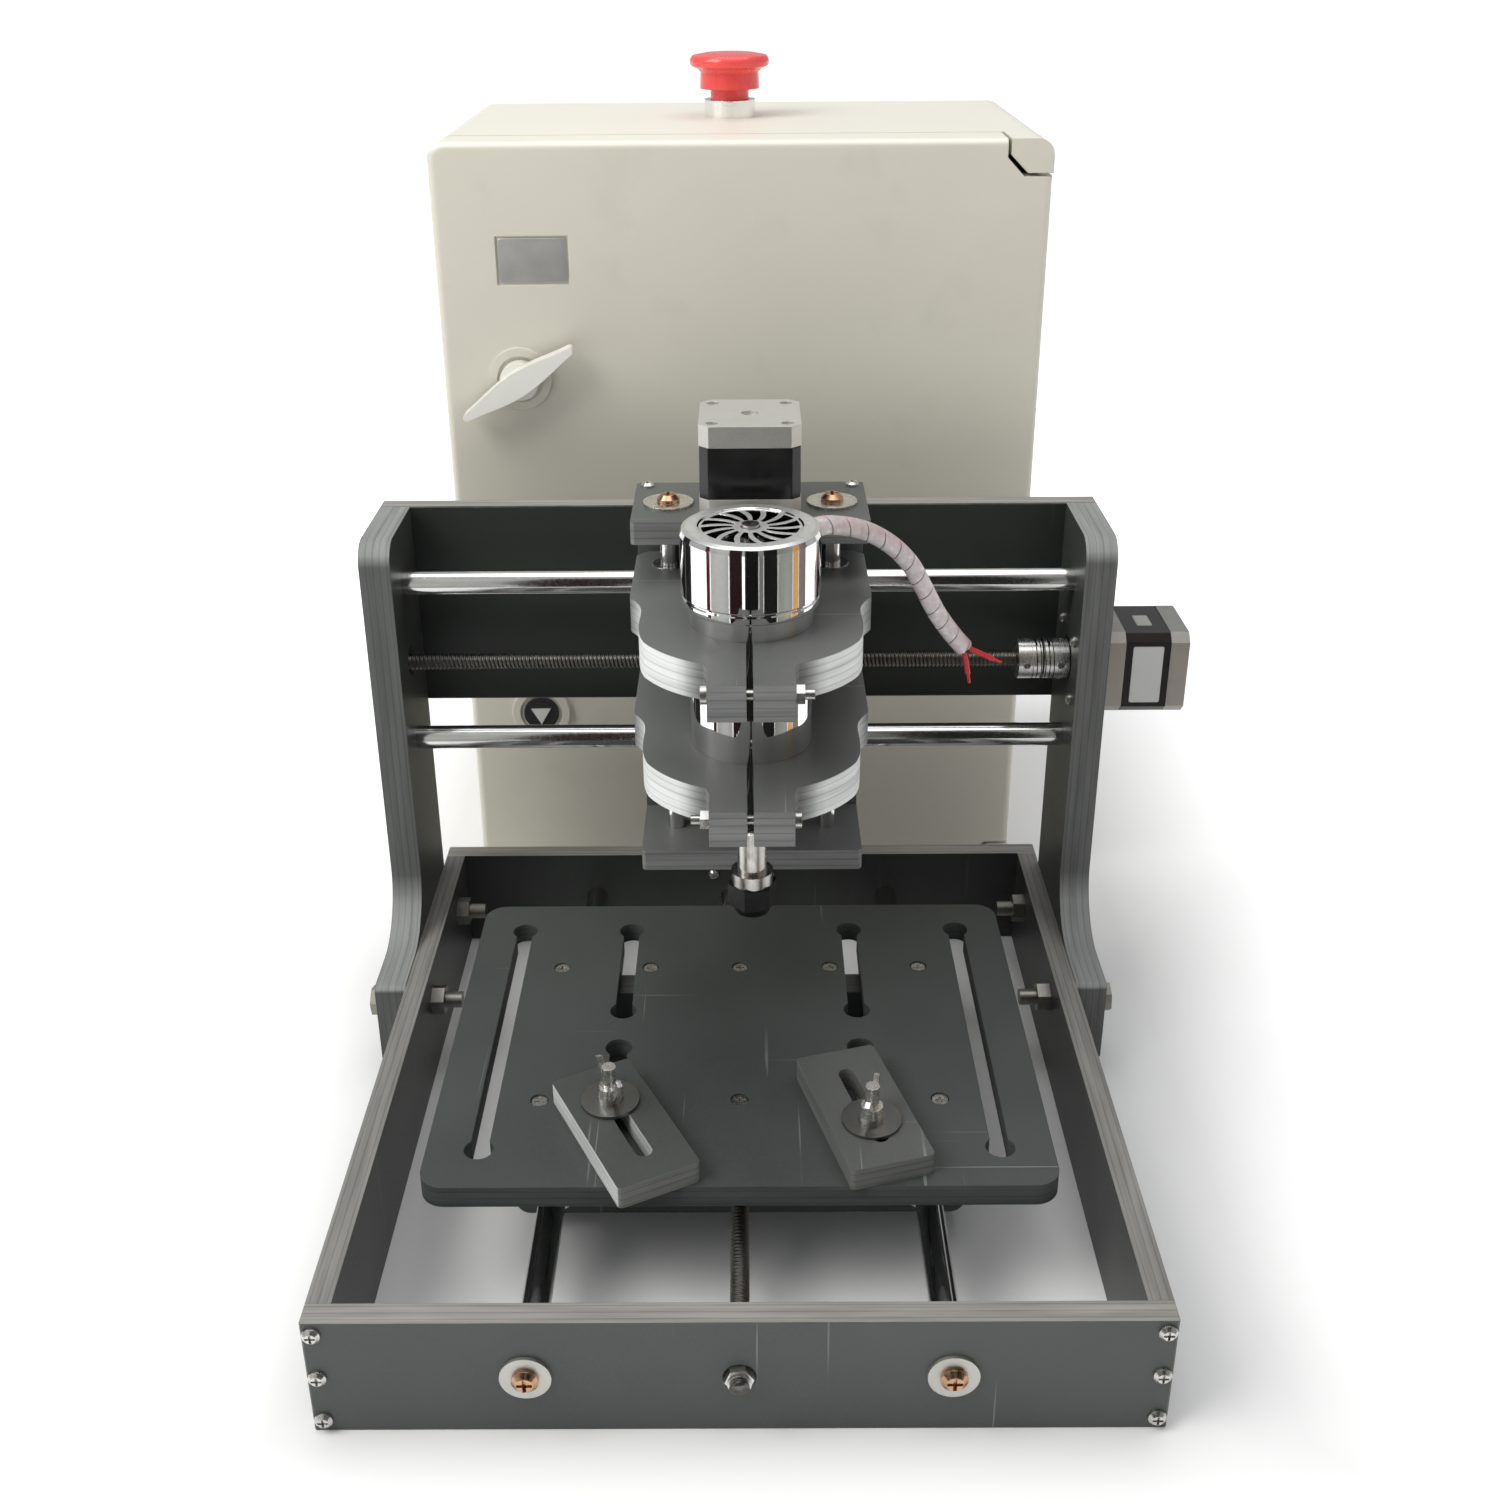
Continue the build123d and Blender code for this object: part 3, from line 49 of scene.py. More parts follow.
# ---------------------------------------------------------------- materials
class G:
    """small helper for building a node tree"""

    def __init__(s, name):
        s.m = bpy.data.materials.new(name)
        s.m.use_nodes = True
        s.t = s.m.node_tree
        s.b = s.t.nodes["Principled BSDF"]
        s.tc = s.t.nodes.new("ShaderNodeTexCoord")

    def n(s, kind, **kw):
        o = s.t.nodes.new("ShaderNode" + kind)
        for k, v in kw.items():
            setattr(o, k, v)
        return o

    def put(s, node, i, v):
        if hasattr(v, "is_output"):
            s.t.links.new(v, node.inputs[i])
        else:
            node.inputs[i].default_value = v

    def math(s, op, a, b=0.0, c=None, clamp=False):
        o = s.n("Math", operation=op, use_clamp=clamp)
        s.put(o, 0, a)
        s.put(o, 1, b)
        if c is not None:
            s.put(o, 2, c)
        return o.outputs[0]

    def noise(s, scale, detail=4.0, stretch=(1, 1, 1), rough=0.55, off=(0, 0, 0), rot=(0, 0, 0)):
        mp = s.n("Mapping")
        mp.inputs["Location"].default_value = off
        mp.inputs["Rotation"].default_value = rot
        mp.inputs["Scale"].default_value = stretch
        s.t.links.new(s.tc.outputs["Object"], mp.inputs["Vector"])
        o = s.n("TexNoise")
        o.inputs["Scale"].default_value = scale
        o.inputs["Detail"].default_value = detail
        o.inputs["Roughness"].default_value = rough
        s.t.links.new(mp.outputs[0], o.inputs["Vector"])
        return o.outputs["Fac"]

    def ramp(s, v, lo, hi, a=0.0, b=1.0):
        o = s.n("MapRange", clamp=True)
        for i, q in enumerate((v, lo, hi, a, b)):
            s.put(o, i, q)
        return o.outputs[0]

    def mix(s, f, a, b, blend="MIX"):
        o = s.n("MixRGB", blend_type=blend)
        s.put(o, 0, f)
        s.put(o, 1, a if hasattr(a, "is_output") else (*a, 1))
        s.put(o, 2, b if hasattr(b, "is_output") else (*b, 1))
        return o.outputs[0]

    def xyz(s, which="Object"):
        o = s.n("SeparateXYZ")
        s.t.links.new(s.tc.outputs[which], o.inputs[0])
        return o.outputs

    def wear(s, radius, samples=4):
        """(rounded normal, mask along the edges)"""
        bv = s.n("Bevel", samples=samples)
        bv.inputs["Radius"].default_value = radius
        ge = s.n("NewGeometry")
        d = s.n("VectorMath", operation="DOT_PRODUCT")
        s.t.links.new(bv.outputs[0], d.inputs[0])
        s.t.links.new(ge.outputs["Normal"], d.inputs[1])
        return bv.outputs[0], s.ramp(d.outputs["Value"], 0.995, 0.93)

    def bump(s, h, strength, dist, normal=None):
        o = s.n("Bump")
        o.inputs["Strength"].default_value = strength
        o.inputs["Distance"].default_value = dist
        s.t.links.new(h, o.inputs["Height"])
        if normal is not None:
            s.t.links.new(normal, o.inputs["Normal"])
        return o.outputs[0]

    def out(s, color, rough, normal=None, metal=0.0, spec=0.5, coat=0.0, coat_rough=0.05):
        s.put(s.b, "Base Color", color)
        s.put(s.b, "Roughness", rough)
        s.put(s.b, "Metallic", metal)
        s.put(s.b, "Specular IOR Level", spec)
        s.put(s.b, "Coat Weight", coat)
        s.put(s.b, "Coat Roughness", coat_rough)
        if normal is not None:
            s.t.links.new(normal, s.b.inputs["Normal"])
        return s.m


def sc(c, k):
    return tuple(min(1.0, q * k) for q in c)


def board(name, base, axis, thick_lo=0.0, edge=(0.30, 0.29, 0.265), scratch=0.55, frost=None, top_only=False):
    """calendered grey PVC board: satin faces with scuffs, lighter sawn edges with fine layer lines"""
    g = G(name)
    big = g.noise(9, 3)
    fine = g.noise(900, 4)
    c = g.mix(g.ramp(big, 0.3, 0.7), sc(base, 0.82), sc(base, 1.18))
    c = g.mix(g.ramp(fine, 0.35, 0.75, 0, 0.35), c, sc(base, 1.5))
    # two families of fine hairline scratches
    s1 = g.ramp(g.noise(420, 1, (1, 0.012, 0.012), rot=(0.3, 0.4, 0.5)), 0.735, 0.76)
    s2 = g.ramp(g.noise(480, 1, (0.012, 1, 0.012), off=(3, 1, 2), rot=(0.7, -0.3, 0.35)), 0.74, 0.765)
    area = g.ramp(g.noise(14, 2, off=(5, 2, 8)), 0.45, 0.62)
    s = g.math("MULTIPLY", g.math("MAXIMUM", s1, s2), area)
    c = g.mix(g.math("MULTIPLY", s, scratch), c, sc(base, 4.2))
    nx = g.xyz("Normal")
    if top_only:
        mask = g.ramp(nx[2], 0.5, 0.6)
    else:
        mask = g.ramp(g.math("ABSOLUTE", nx["xyz".index(axis)]), 0.62, 0.48)
    p = g.xyz("Object")["xyz".index(axis)]
    # layers across the thickness
    line = g.ramp(g.math("SINE", g.math("MULTIPLY", p, 2 * math.pi / 0.0033)), 0.72, 1.0)
    jit = g.noise(260, 3, tuple(1 if a == axis else 0.06 for a in "xyz"))
    lay = g.math("SUBTRACT", jit, g.math("MULTIPLY", line, 0.28))
    e = g.mix(g.ramp(lay, 0.15, 0.65), sc(edge, 0.58), sc(edge, 1.08))
    if frost:
        e = g.mix(frost(g), e, g.mix(g.ramp(lay, 0.1, 0.6), (0.40, 0.41, 0.40), (0.68, 0.70, 0.68)))
    c = g.mix(mask, c, e)
    bn, w = g.wear(0.0005)
    c = g.mix(g.math("MULTIPLY", w, g.ramp(g.noise(120, 3), 0.35, 0.65, 0.15, 0.75)), c, sc(edge, 1.05))
    r = g.ramp(g.math("ADD", g.math("MULTIPLY", fine, 0.5), g.math("MULTIPLY", big, 0.5)), 0.3, 0.7, 0.34, 0.52)
    r = g.math("ADD", r, g.math("MULTIPLY", mask, 0.18))
    h = g.math("ADD", g.math("MULTIPLY", fine, 0.5), g.math("MULTIPLY", g.math("MULTIPLY", mask, lay), 0.8))
    h = g.math("SUBTRACT", h, g.math("MULTIPLY", s, 0.8))
    return g.out(c, r, g.bump(h, 0.22, 0.0002, bn), spec=0.45)


def metal(name, base, rough=(0.18, 0.36), brush=(1, 1, 1), scale=400, tint=0.12, dirt=0.25, radius=0.0003, bump=0.12):
    """plated or machined metal with brushing, tarnish and bright edges"""
    g = G(name)
    a = g.noise(scale, 3, brush)
    b = g.noise(45, 4, off=(1, 7, 3))
    c = g.mix(g.ramp(a, 0.3, 0.7), sc(base, 1 - tint), sc(base, 1 + tint))
    c = g.mix(g.math("MULTIPLY", g.ramp(b, 0.5, 0.75), dirt), c, sc(base, 0.35))
    bn, w = g.wear(radius)
    c = g.mix(g.math("MULTIPLY", w, 0.4), c, sc(base, 1.3))
    r = g.ramp(g.math("ADD", g.math("MULTIPLY", a, 0.6), g.math("MULTIPLY", b, 0.4)), 0.3, 0.7, *rough)
    return g.out(c, r, g.bump(a, bump, 0.00008, bn), metal=1.0)


def plastic(name, base, rough=(0.3, 0.45), grain=700, depth=0.00006, var=0.06, spec=0.5, coat=0.0, radius=0.0007, extra=None):
    g = G(name)
    big = g.noise(6, 3)
    fine = g.noise(grain, 3)
    c = g.mix(g.ramp(big, 0.3, 0.7), sc(base, 1 - var), sc(base, 1 + var))
    c = g.mix(g.ramp(g.noise(30, 4, off=(4, 4, 4)), 0.60, 0.72, 0, 0.10), c, sc(base, 0.6))
    if extra:
        c = extra(g, c)
    bn, w = g.wear(radius)
    c = g.mix(g.math("MULTIPLY", w, 0.22), c, sc(base, 1.35))
    r = g.ramp(g.math("ADD", g.math("MULTIPLY", fine, 0.4), g.math("MULTIPLY", big, 0.6)), 0.35, 0.65, *rough)
    return g.out(c, r, g.bump(fine, 0.25, depth, bn), spec=spec, coat=coat)


def thread_metal(name, base, axis, pitch):
    """dark leadscrew with a thread in the surface, for the lengths that stay plain cylinders; the thread roots are
    painted dark as painted shade and the crests light as painted highlight
    """
    g = G(name)
    p = g.xyz("Object")["xyz".index(axis)]
    th = g.math("SINE", g.math("MULTIPLY", p, 2 * math.pi / pitch))
    a = g.noise(300, 3)
    # painted shade in the thread roots and painted highlight on the crests
    c = g.mix(g.ramp(g.math("ADD", th, a), -0.2, 1.2), sc(base, 0.35), sc(base, 1.8))
    return g.out(c, g.ramp(a, 0.3, 0.7, 0.25, 0.45), g.bump(th, 0.5, 0.0006), metal=1.0)


PVC = (0.068, 0.077, 0.073)
PVC2 = (0.088, 0.095, 0.091)


def frost_clamp(g):
    # the curved outer edges of the spindle clamps are frosted by the saw
    p = g.xyz("Object")
    dx = g.math("ABSOLUTE", g.math("SUBTRACT", p[0], (6.0 - OX) / 1000))
    side = g.ramp(dx, 0.019, 0.026)
    front = g.ramp(p[1], (172 - OY) / 1000, (160 - OY) / 1000)
    tip = g.ramp(p[1], (103 - OY) / 1000, (112 - OY) / 1000)
    return g.math("MULTIPLY", g.math("MULTIPLY", side, front), tip)


def frost_slope(g):
    return g.ramp(g.xyz("Normal")[2], 0.10, 0.55, 0.0, 0.30)


def frost_left(g):
    return g.ramp(g.xyz("Normal")[0], -0.55, -0.75)


# painted light and shade: the same grey PVC board gets its base and sawn-edge colours set part by part, darker where a
# part stands in shade (rear panel, side walls, beam, gantry plates, front panel) and lighter where its top catches the
# light (Z bottom plate, spindle clamps)
mats = {
    "front_panel": board("pvc_front", (0.056, 0.062, 0.059), "y"),
    "rear_panel": board("pvc_rear", (0.034, 0.038, 0.035), "y"),
    "left_side_wall": board("pvc_wall_l", (0.042, 0.046, 0.042), "x", edge=(0.235, 0.23, 0.215)),
    "right_side_wall": board("pvc_wall_r", (0.042, 0.046, 0.042), "x", edge=(0.235, 0.23, 0.215)),
    "gantry_left_plate": board("pvc_gantry_l", (0.046, 0.050, 0.046), "x", edge=(0.095, 0.100, 0.096), frost=frost_slope),
    "gantry_right_plate": board("pvc_gantry_r", (0.046, 0.050, 0.046), "x", edge=(0.105, 0.110, 0.106), frost=frost_slope),
    "gantry_beam": board("pvc_beam", (0.017, 0.021, 0.018), "y", scratch=0.25),
    "table_top": board("pvc_table", (0.052, 0.058, 0.055), "z", edge=(0.075, 0.082, 0.078), scratch=0.75),
    "table_bearing_plates": board("pvc_tbp", PVC, "y", edge=(0.10, 0.105, 0.10)),
    "left_clamp_bar": board("pvc_bar_l", (0.062, 0.068, 0.064), "z", edge=(0.20, 0.205, 0.19), frost=frost_left),
    "right_clamp_bar": board("pvc_bar_r", (0.086, 0.090, 0.086), "z", edge=(0.15, 0.155, 0.145)),
    "x_carriage_plates": board("pvc_carriage", PVC, "x", top_only=True, edge=(0.16, 0.165, 0.155)),
    "z_top_plate": board("pvc_ztop", PVC2, "z", edge=(0.16, 0.165, 0.16)),
    "z_bottom_plate": board("pvc_zbot", (0.13, 0.135, 0.13), "z", edge=(0.16, 0.165, 0.16)),
    "upper_spindle_clamp": board("pvc_clamp_u", (0.125, 0.130, 0.125), "z", edge=(0.17, 0.175, 0.17), frost=frost_clamp),
    "lower_spindle_clamp": board("pvc_clamp_l", (0.125, 0.130, 0.125), "z", edge=(0.17, 0.175, 0.17), frost=frost_clamp),
}
zinc = metal("zinc", (0.66, 0.65, 0.62), (0.20, 0.38), dirt=0.35)
zinc_bright = metal("zinc_bright", (0.82, 0.81, 0.78), (0.20, 0.32), tint=0.06, dirt=0.10)
washer = metal("washer_zinc", (0.60, 0.59, 0.56), (0.42, 0.55), tint=0.04, dirt=0.10, bump=0.04)
dark_washer = metal("washer_dark", (0.24, 0.24, 0.23), (0.28, 0.42), tint=0.05, dirt=0.15, bump=0.05)
copper = metal("copper_screw", (0.62, 0.38, 0.24), (0.18, 0.34), dirt=0.35)
galv = metal("galvanised", (0.27, 0.26, 0.235), (0.32, 0.5), dirt=0.5)
rodm = metal("ground_rod", (0.74, 0.74, 0.73), (0.08, 0.18), brush=(1, 1, 1), scale=700, tint=0.05, dirt=0.12, bump=0.04)
bearing = metal("bearing_steel", (0.66, 0.66, 0.65), (0.16, 0.3), dirt=0.2)
alu = metal("turned_aluminium", (0.74, 0.74, 0.72), (0.24, 0.36), brush=(8, 1, 1), dirt=0.15)
cast = metal("cast_cap", (0.70, 0.695, 0.655), (0.46, 0.58), scale=1400, tint=0.05, dirt=0.12, bump=0.12)
chrome = metal("mirror_chrome", (0.86, 0.86, 0.86), (0.025, 0.07), scale=250, tint=0.02, dirt=0.04, bump=0.01)
rotor = metal("rotor_steel", (0.55, 0.55, 0.54), (0.14, 0.28), dirt=0.25)


def coupling_mat():
    # turned aluminium with its helical cut, pressed in as a bump and painted near-black as painted shade inside the
    # slot
    g = G("coupling_cut")
    a = g.noise(400, 3, (8, 1, 1))
    p = g.xyz("Object")
    tw = g.math("MULTIPLY", g.math("ARCTAN2", g.math("SUBTRACT", p[1], (298.0 - OY) / 1000), g.math("SUBTRACT", p[2], 0.1934)), 0.0021 / (2 * math.pi))
    w = g.math("SINE", g.math("MULTIPLY", g.math("ADD", p[0], tw), 2 * math.pi / 0.0021))
    mid = g.ramp(g.math("ABSOLUTE", g.math("SUBTRACT", p[0], (152.0 - OX) / 1000)), 0.0058, 0.0052)
    groove_shade = g.math("MULTIPLY", g.ramp(w, 0.72, 0.86), mid)
    c = g.mix(g.ramp(a, 0.3, 0.7), (0.64, 0.64, 0.62), (0.80, 0.80, 0.78))
    # painted shade: the slot of the cut is painted near-black
    c = g.mix(groove_shade, c, (0.012, 0.012, 0.012))
    bn, wr = g.wear(0.0003)
    h = g.math("SUBTRACT", g.math("MULTIPLY", a, 0.1), groove_shade)
    return g.out(c, g.math("ADD", g.ramp(a, 0.3, 0.7, 0.22, 0.34), g.math("MULTIPLY", groove_shade, 0.4)), g.bump(h, 0.5, 0.0003, bn), metal=1.0)


def rotor_mat():
    # dark fan at the top inside the cap, ground steel shaft elsewhere
    g = G("rotor_and_fan_steel")
    a = g.noise(300, 3)
    p = g.xyz("Object")
    dx = g.math("SUBTRACT", p[0], (6.0 - OX) / 1000)
    dy = g.math("SUBTRACT", p[1], (150.0 - OY) / 1000)
    rad = g.math("SQRT", g.math("ADD", g.math("MULTIPLY", dx, dx), g.math("MULTIPLY", dy, dy)))
    fan = g.math("MULTIPLY", g.ramp(rad, 0.0050, 0.0062), g.ramp(p[2], 0.265, 0.275))
    c = g.mix(fan, g.mix(a, (0.45, 0.44, 0.42), (0.66, 0.64, 0.60)), g.mix(a, (0.006, 0.006, 0.006), (0.02, 0.02, 0.02)))
    return g.out(c, g.math("ADD", g.ramp(a, 0.3, 0.7, 0.16, 0.3), g.math("MULTIPLY", fan, 0.4)), g.bump(a, 0.1, 0.0001), metal=1.0)


def cap_mat():
    # mirror sides, brushed satin on the faces that look up
    g = G("cap_chrome")
    a = g.noise(500, 3)
    b = g.noise(30, 3, off=(2, 2, 2))
    up = g.ramp(g.xyz("Normal")[2], 0.80, 0.95)
    c = g.mix(g.ramp(a, 0.3, 0.7), (0.82, 0.82, 0.82), (0.88, 0.88, 0.87))
    c = g.mix(up, c, g.mix(g.ramp(a, 0.3, 0.7), (0.74, 0.74, 0.72), (0.86, 0.86, 0.84)))
    c = g.mix(g.ramp(b, 0.55, 0.75, 0, 0.12), c, (0.45, 0.44, 0.42))
    bn, w = g.wear(0.0004)
    r = g.math("ADD", g.ramp(b, 0.3, 0.7, 0.025, 0.06), g.math("MULTIPLY", up, 0.40))
    return g.out(c, r, g.bump(a, 0.03, 0.00005, bn), metal=1.0)


rotor = rotor_mat()
black_ox = metal("black_oxide", (0.045, 0.045, 0.045), (0.28, 0.45), dirt=0.3)


def lam(g, c):
    # stacked steel laminations under lacquer: faint rings of varying black
    return g.mix(g.ramp(g.noise(500, 2, (0.2, 0.2, 1)), 0.4, 0.6, 0, 0.5), c, (0.012, 0.012, 0.012))


core = plastic("motor_lacquer", (0.006, 0.006, 0.006), (0.14, 0.24), grain=1800, depth=0.00001, spec=0.4, extra=lam)
def roof_painted_light(g, c):
    # painted light: the upper faces are painted paler and whiter, as if lit from above
    return g.mix(g.ramp(g.xyz("Normal")[2], 0.3, 0.8, 0, 0.85), c, (0.86, 0.83, 0.73))


cab = plastic("cabinet_shell_plastic", (0.60, 0.575, 0.49), (0.36, 0.48), grain=1400, depth=0.00003, var=0.03, radius=0.0012, extra=roof_painted_light)
cabw = plastic("latch_plastic", (0.76, 0.75, 0.69), (0.28, 0.4), grain=900, var=0.03)
red = plastic("stop_red", (0.84, 0.075, 0.07), (0.2, 0.32), grain=800, depth=0.00002, var=0.08, coat=0.25)


def tri_face(g, c):
    # the raised triangle stands out light on the black disc
    y = g.xyz("Object")[1]
    # the triangle rises from the disc's face at y = 412.5 mm
    return g.mix(g.ramp(y, (412.35 - OY) / 1000, (412.2 - OY) / 1000), c, (0.62, 0.61, 0.56))


lockm = plastic("lock_black", (0.02, 0.02, 0.02), (0.25, 0.4), grain=900, extra=tri_face)
psu = metal("sheet_case", (0.62, 0.63, 0.63), (0.3, 0.45), dirt=0.15)
pcb = plastic("circuit_board", (0.02, 0.14, 0.055), (0.25, 0.4), grain=1200)
wirem = plastic("red_insulation", (0.48, 0.02, 0.025), (0.25, 0.4), grain=900)

mats.update({
    "frame_screws": zinc, "guide_rods": rodm, "rod_end_washers": washer, "rod_end_screws": copper,
    # painted shade: the X and Y motor caps get a darker copy of the cast cap metal, 0.40 against 0.70 on the Z motor
    # caps
    "screw_end_bearings": bearing, "motor_cores": core, "motor_caps": metal("cast_cap_painted_shade", (0.40, 0.395, 0.37), (0.44, 0.56), scale=1400, tint=0.05, dirt=0.12, bump=0.12), "gantry_bolts": galv,
    "cabinet_shell": cab, "power_supply": psu, "control_board": pcb, "cabinet_hinge_blocks": cab,
    "stop_collar": chrome, "cabinet_door": cab, "latch_handle": cabw, "lock_core": lockm, "stop_button": red,
    "table_bearings_and_nut": bearing, "table_screws": zinc, "left_clamp_bolt": zinc_bright, "left_clamp_washer": dark_washer,
    "left_wing_nut": zinc_bright, "right_clamp_bolt": zinc_bright, "right_clamp_washer": dark_washer, "right_wing_nut": zinc_bright,
    "carriage_bearings_and_nut": bearing, "carriage_screws": zinc, "z_guide_rods": rodm, "z_rod_screws": copper,
    "z_motor_core": core, "z_motor_caps": cast, "z_bearings_and_nut": bearing, "spindle_clamp_bolts": zinc,
    "spindle_housing": chrome, "fan_cover": cap_mat(), "rotor_and_fan": rotor, "collet_nut": black_ox,
    "x_coupling": coupling_mat(), "y_coupling_and_locknut": alu, "lead_wires": wirem,
    "z_leadscrew_and_coupling": thread_metal("screw_z", (0.40, 0.40, 0.39), "z", 0.002),
})
for n, o in N.items():
    m = mats.get(n)
    if m:
        o.data.materials.clear()
        o.data.materials.append(m)


def mesh(name, verts, faces, m, smooth=True):
    me = bpy.data.meshes.new(name)
    me.from_pydata([tuple(v) for v in verts], [], faces)
    me.validate()
    me.update()
    o = bpy.data.objects.new(name, me)
    bpy.context.scene.collection.objects.link(o)
    me.materials.append(m)
    for p in me.polygons:
        p.use_smooth = smooth
    return o


# ---------------------------------------------------------------- leadscrews with cut threads
screw_dark = metal("screw_dark", (0.17, 0.165, 0.15), (0.25, 0.42), dirt=0.3)


def threaded(name, node, axis):
    lo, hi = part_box(node)
    i = "xyz".index(axis)
    j, k = [q for q in range(3) if q != i]
    cj, ck = (lo[j] + hi[j]) / 2, (lo[k] + hi[k]) / 2
    a, b = lo[i], hi[i]
    R, depth, pitch, seg, per = 0.0040, 0.0007, 0.002, 28, 8
    rings = int((b - a) / pitch * per)
    vs, fs = [], []
    for r in range(rings + 1):
        s = a + (b - a) * r / rings
        for q in range(seg):
            t = 2 * math.pi * q / seg
            # right-hand thread, two starts, 4 mm lead
            ph = ((s - a) / pitch - 2 * q / seg) % 1.0
            d = max(0.0, min(1.0, 2.0 - abs(ph - 0.5) * 5.0)) if abs(ph - 0.5) < 0.4 else 0.0
            rad = R - depth * d
            v = [0, 0, 0]
            v[i] = s
            v[j] = cj + rad * math.cos(t)
            v[k] = ck + rad * math.sin(t)
            vs.append(v)
    for r in range(rings):
        for q in range(seg):
            q2 = (q + 1) % seg
            f = (r * seg + q, r * seg + q2, (r + 1) * seg + q2, (r + 1) * seg + q)
            fs.append(f)
    fs.append(tuple(reversed(range(seg))))
    fs.append(tuple(rings * seg + q for q in range(seg)))
    o = mesh(name, vs, fs, screw_dark)
    bm = bmesh.new()
    bm.from_mesh(o.data)
    bmesh.ops.recalc_face_normals(bm, faces=bm.faces)
    bm.to_mesh(o.data)
    bm.free()
    return o


for nm, nd, ax, bd in (("x_screw_thread", "x_leadscrew", "x", "x_screw"), ("y_screw_thread", "y_leadscrew", "y", "y_screw")):
    o = threaded(nm, nd, ax)
    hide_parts(nd)
    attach(o, bd)

# ---------------------------------------------------------------- wrapped lead
ROUTE = [(30.70, 164.07, 310.6), (38.6, 168.4, 310.2), (51.5, 173.2, 306.4), (62.7, 177.0, 299.2), (71.7, 180.2, 289.4),
         (78.2, 183.0, 277.6), (84.4, 185.6, 265.2), (91.6, 187.8, 254.4), (97.4, 189.2, 247.2)]
P = [mm(*p) for p in ROUTE]


def smooth_path(pts, per=24):
    """Catmull-Rom through the points"""
    out = []
    q = [pts[0] * 2 - pts[1]] + pts + [pts[-1] * 2 - pts[-2]]
    for i in range(1, len(q) - 2):
        a, b, c, d = q[i - 1], q[i], q[i + 1], q[i + 2]
        for s in range(per):
            t = s / per
            out.append(0.5 * (2 * b + (c - a) * t + (2 * a - 5 * b + 4 * c - d) * t * t + (3 * b - a - 3 * c + d) * t ** 3))
    out.append(pts[-1].copy())
    return out


path = smooth_path(P)


def wrap_material():
    g = G("spiral_wrap")
    at = g.n("Attribute", attribute_name="groove_shade")
    rd = g.n("Attribute", attribute_name="redness")
    a = g.noise(350, 4)
    c = g.mix(g.ramp(a, 0.3, 0.7), (0.46, 0.40, 0.40), (0.66, 0.61, 0.61))
    c = g.mix(g.math("MULTIPLY", rd.outputs["Fac"], g.ramp(a, 0.3, 0.7, 0.45, 0.9)), c, (0.36, 0.10, 0.12))
    # the groove between the turns is painted dark red-brown: partly the red wires seen inside, partly painted shade in
    # the gap
    c = g.mix(at.outputs["Fac"], c, (0.06, 0.035, 0.035))
    g.put(g.b, "Subsurface Weight", 0.15)
    g.put(g.b, "Subsurface Scale", 0.002)
    return g.out(c, g.ramp(a, 0.3, 0.7, 0.16, 0.3), g.bump(a, 0.15, 0.0001), spec=0.6, coat=0.4)


def lead():
    seg, R = 40, 0.004
    T = []
    for i in range(len(path)):
        T.append((path[min(i + 1, len(path) - 1)] - path[max(i - 1, 0)]).normalized())
    n = T[0].orthogonal().normalized()
    vs, groove_shade, redn = [], [], []
    s = 0.0
    fine = []
    # resample finely so that the cuts stay crisp
    for i in range(len(path) - 1):
        for k in range(3):
            fine.append((path[i].lerp(path[i + 1], k / 3), T[i].lerp(T[i + 1], k / 3).normalized()))
    fine.append((path[-1], T[-1]))
    prev = fine[0][0]
    for p, t in fine:
        s += (p - prev).length
        prev = p
        n = (n - t * n.dot(t)).normalized()
        b = t.cross(n)
        for q in range(seg):
            th = 2 * math.pi * q / seg
            ph = (s / 0.0085 - q / seg) % 1.0
            c = max(0.0, 1 - abs(ph - 0.5) / 0.035)
            # the red pair shows through one side, wandering a little
            w = max(0.0, math.cos(th - 0.6 - 0.9 * math.sin(s * 70)))
            vs.append(p + (n * math.cos(th) + b * math.sin(th)) * (R - 0.0005 * min(1.0, c * 1.5)))
            # groove mask, handed on as an attribute for the painted shade between the turns
            groove_shade.append(min(1.0, c * 1.4))
            redn.append(w ** 1.5 * (0.25 + 0.6 * min(1.0, s / 0.08)))
    rings = len(fine)
    fs = [(r * seg + q, r * seg + (q + 1) % seg, (r + 1) * seg + (q + 1) % seg, (r + 1) * seg + q) for r in range(rings - 1) for q in range(seg)]
    fs += [tuple(reversed(range(seg))), tuple((rings - 1) * seg + q for q in range(seg))]
    o = mesh("lead_wrap", vs, fs, wrap_material())
    for nm, data in (("groove_shade", groove_shade), ("redness", redn)):
        a = o.data.attributes.new(nm, "FLOAT", "POINT")
        a.data.foreach_set("value", data)
    return o


lw = lead()
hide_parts("spindle_lead")
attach(lw, "spindle")


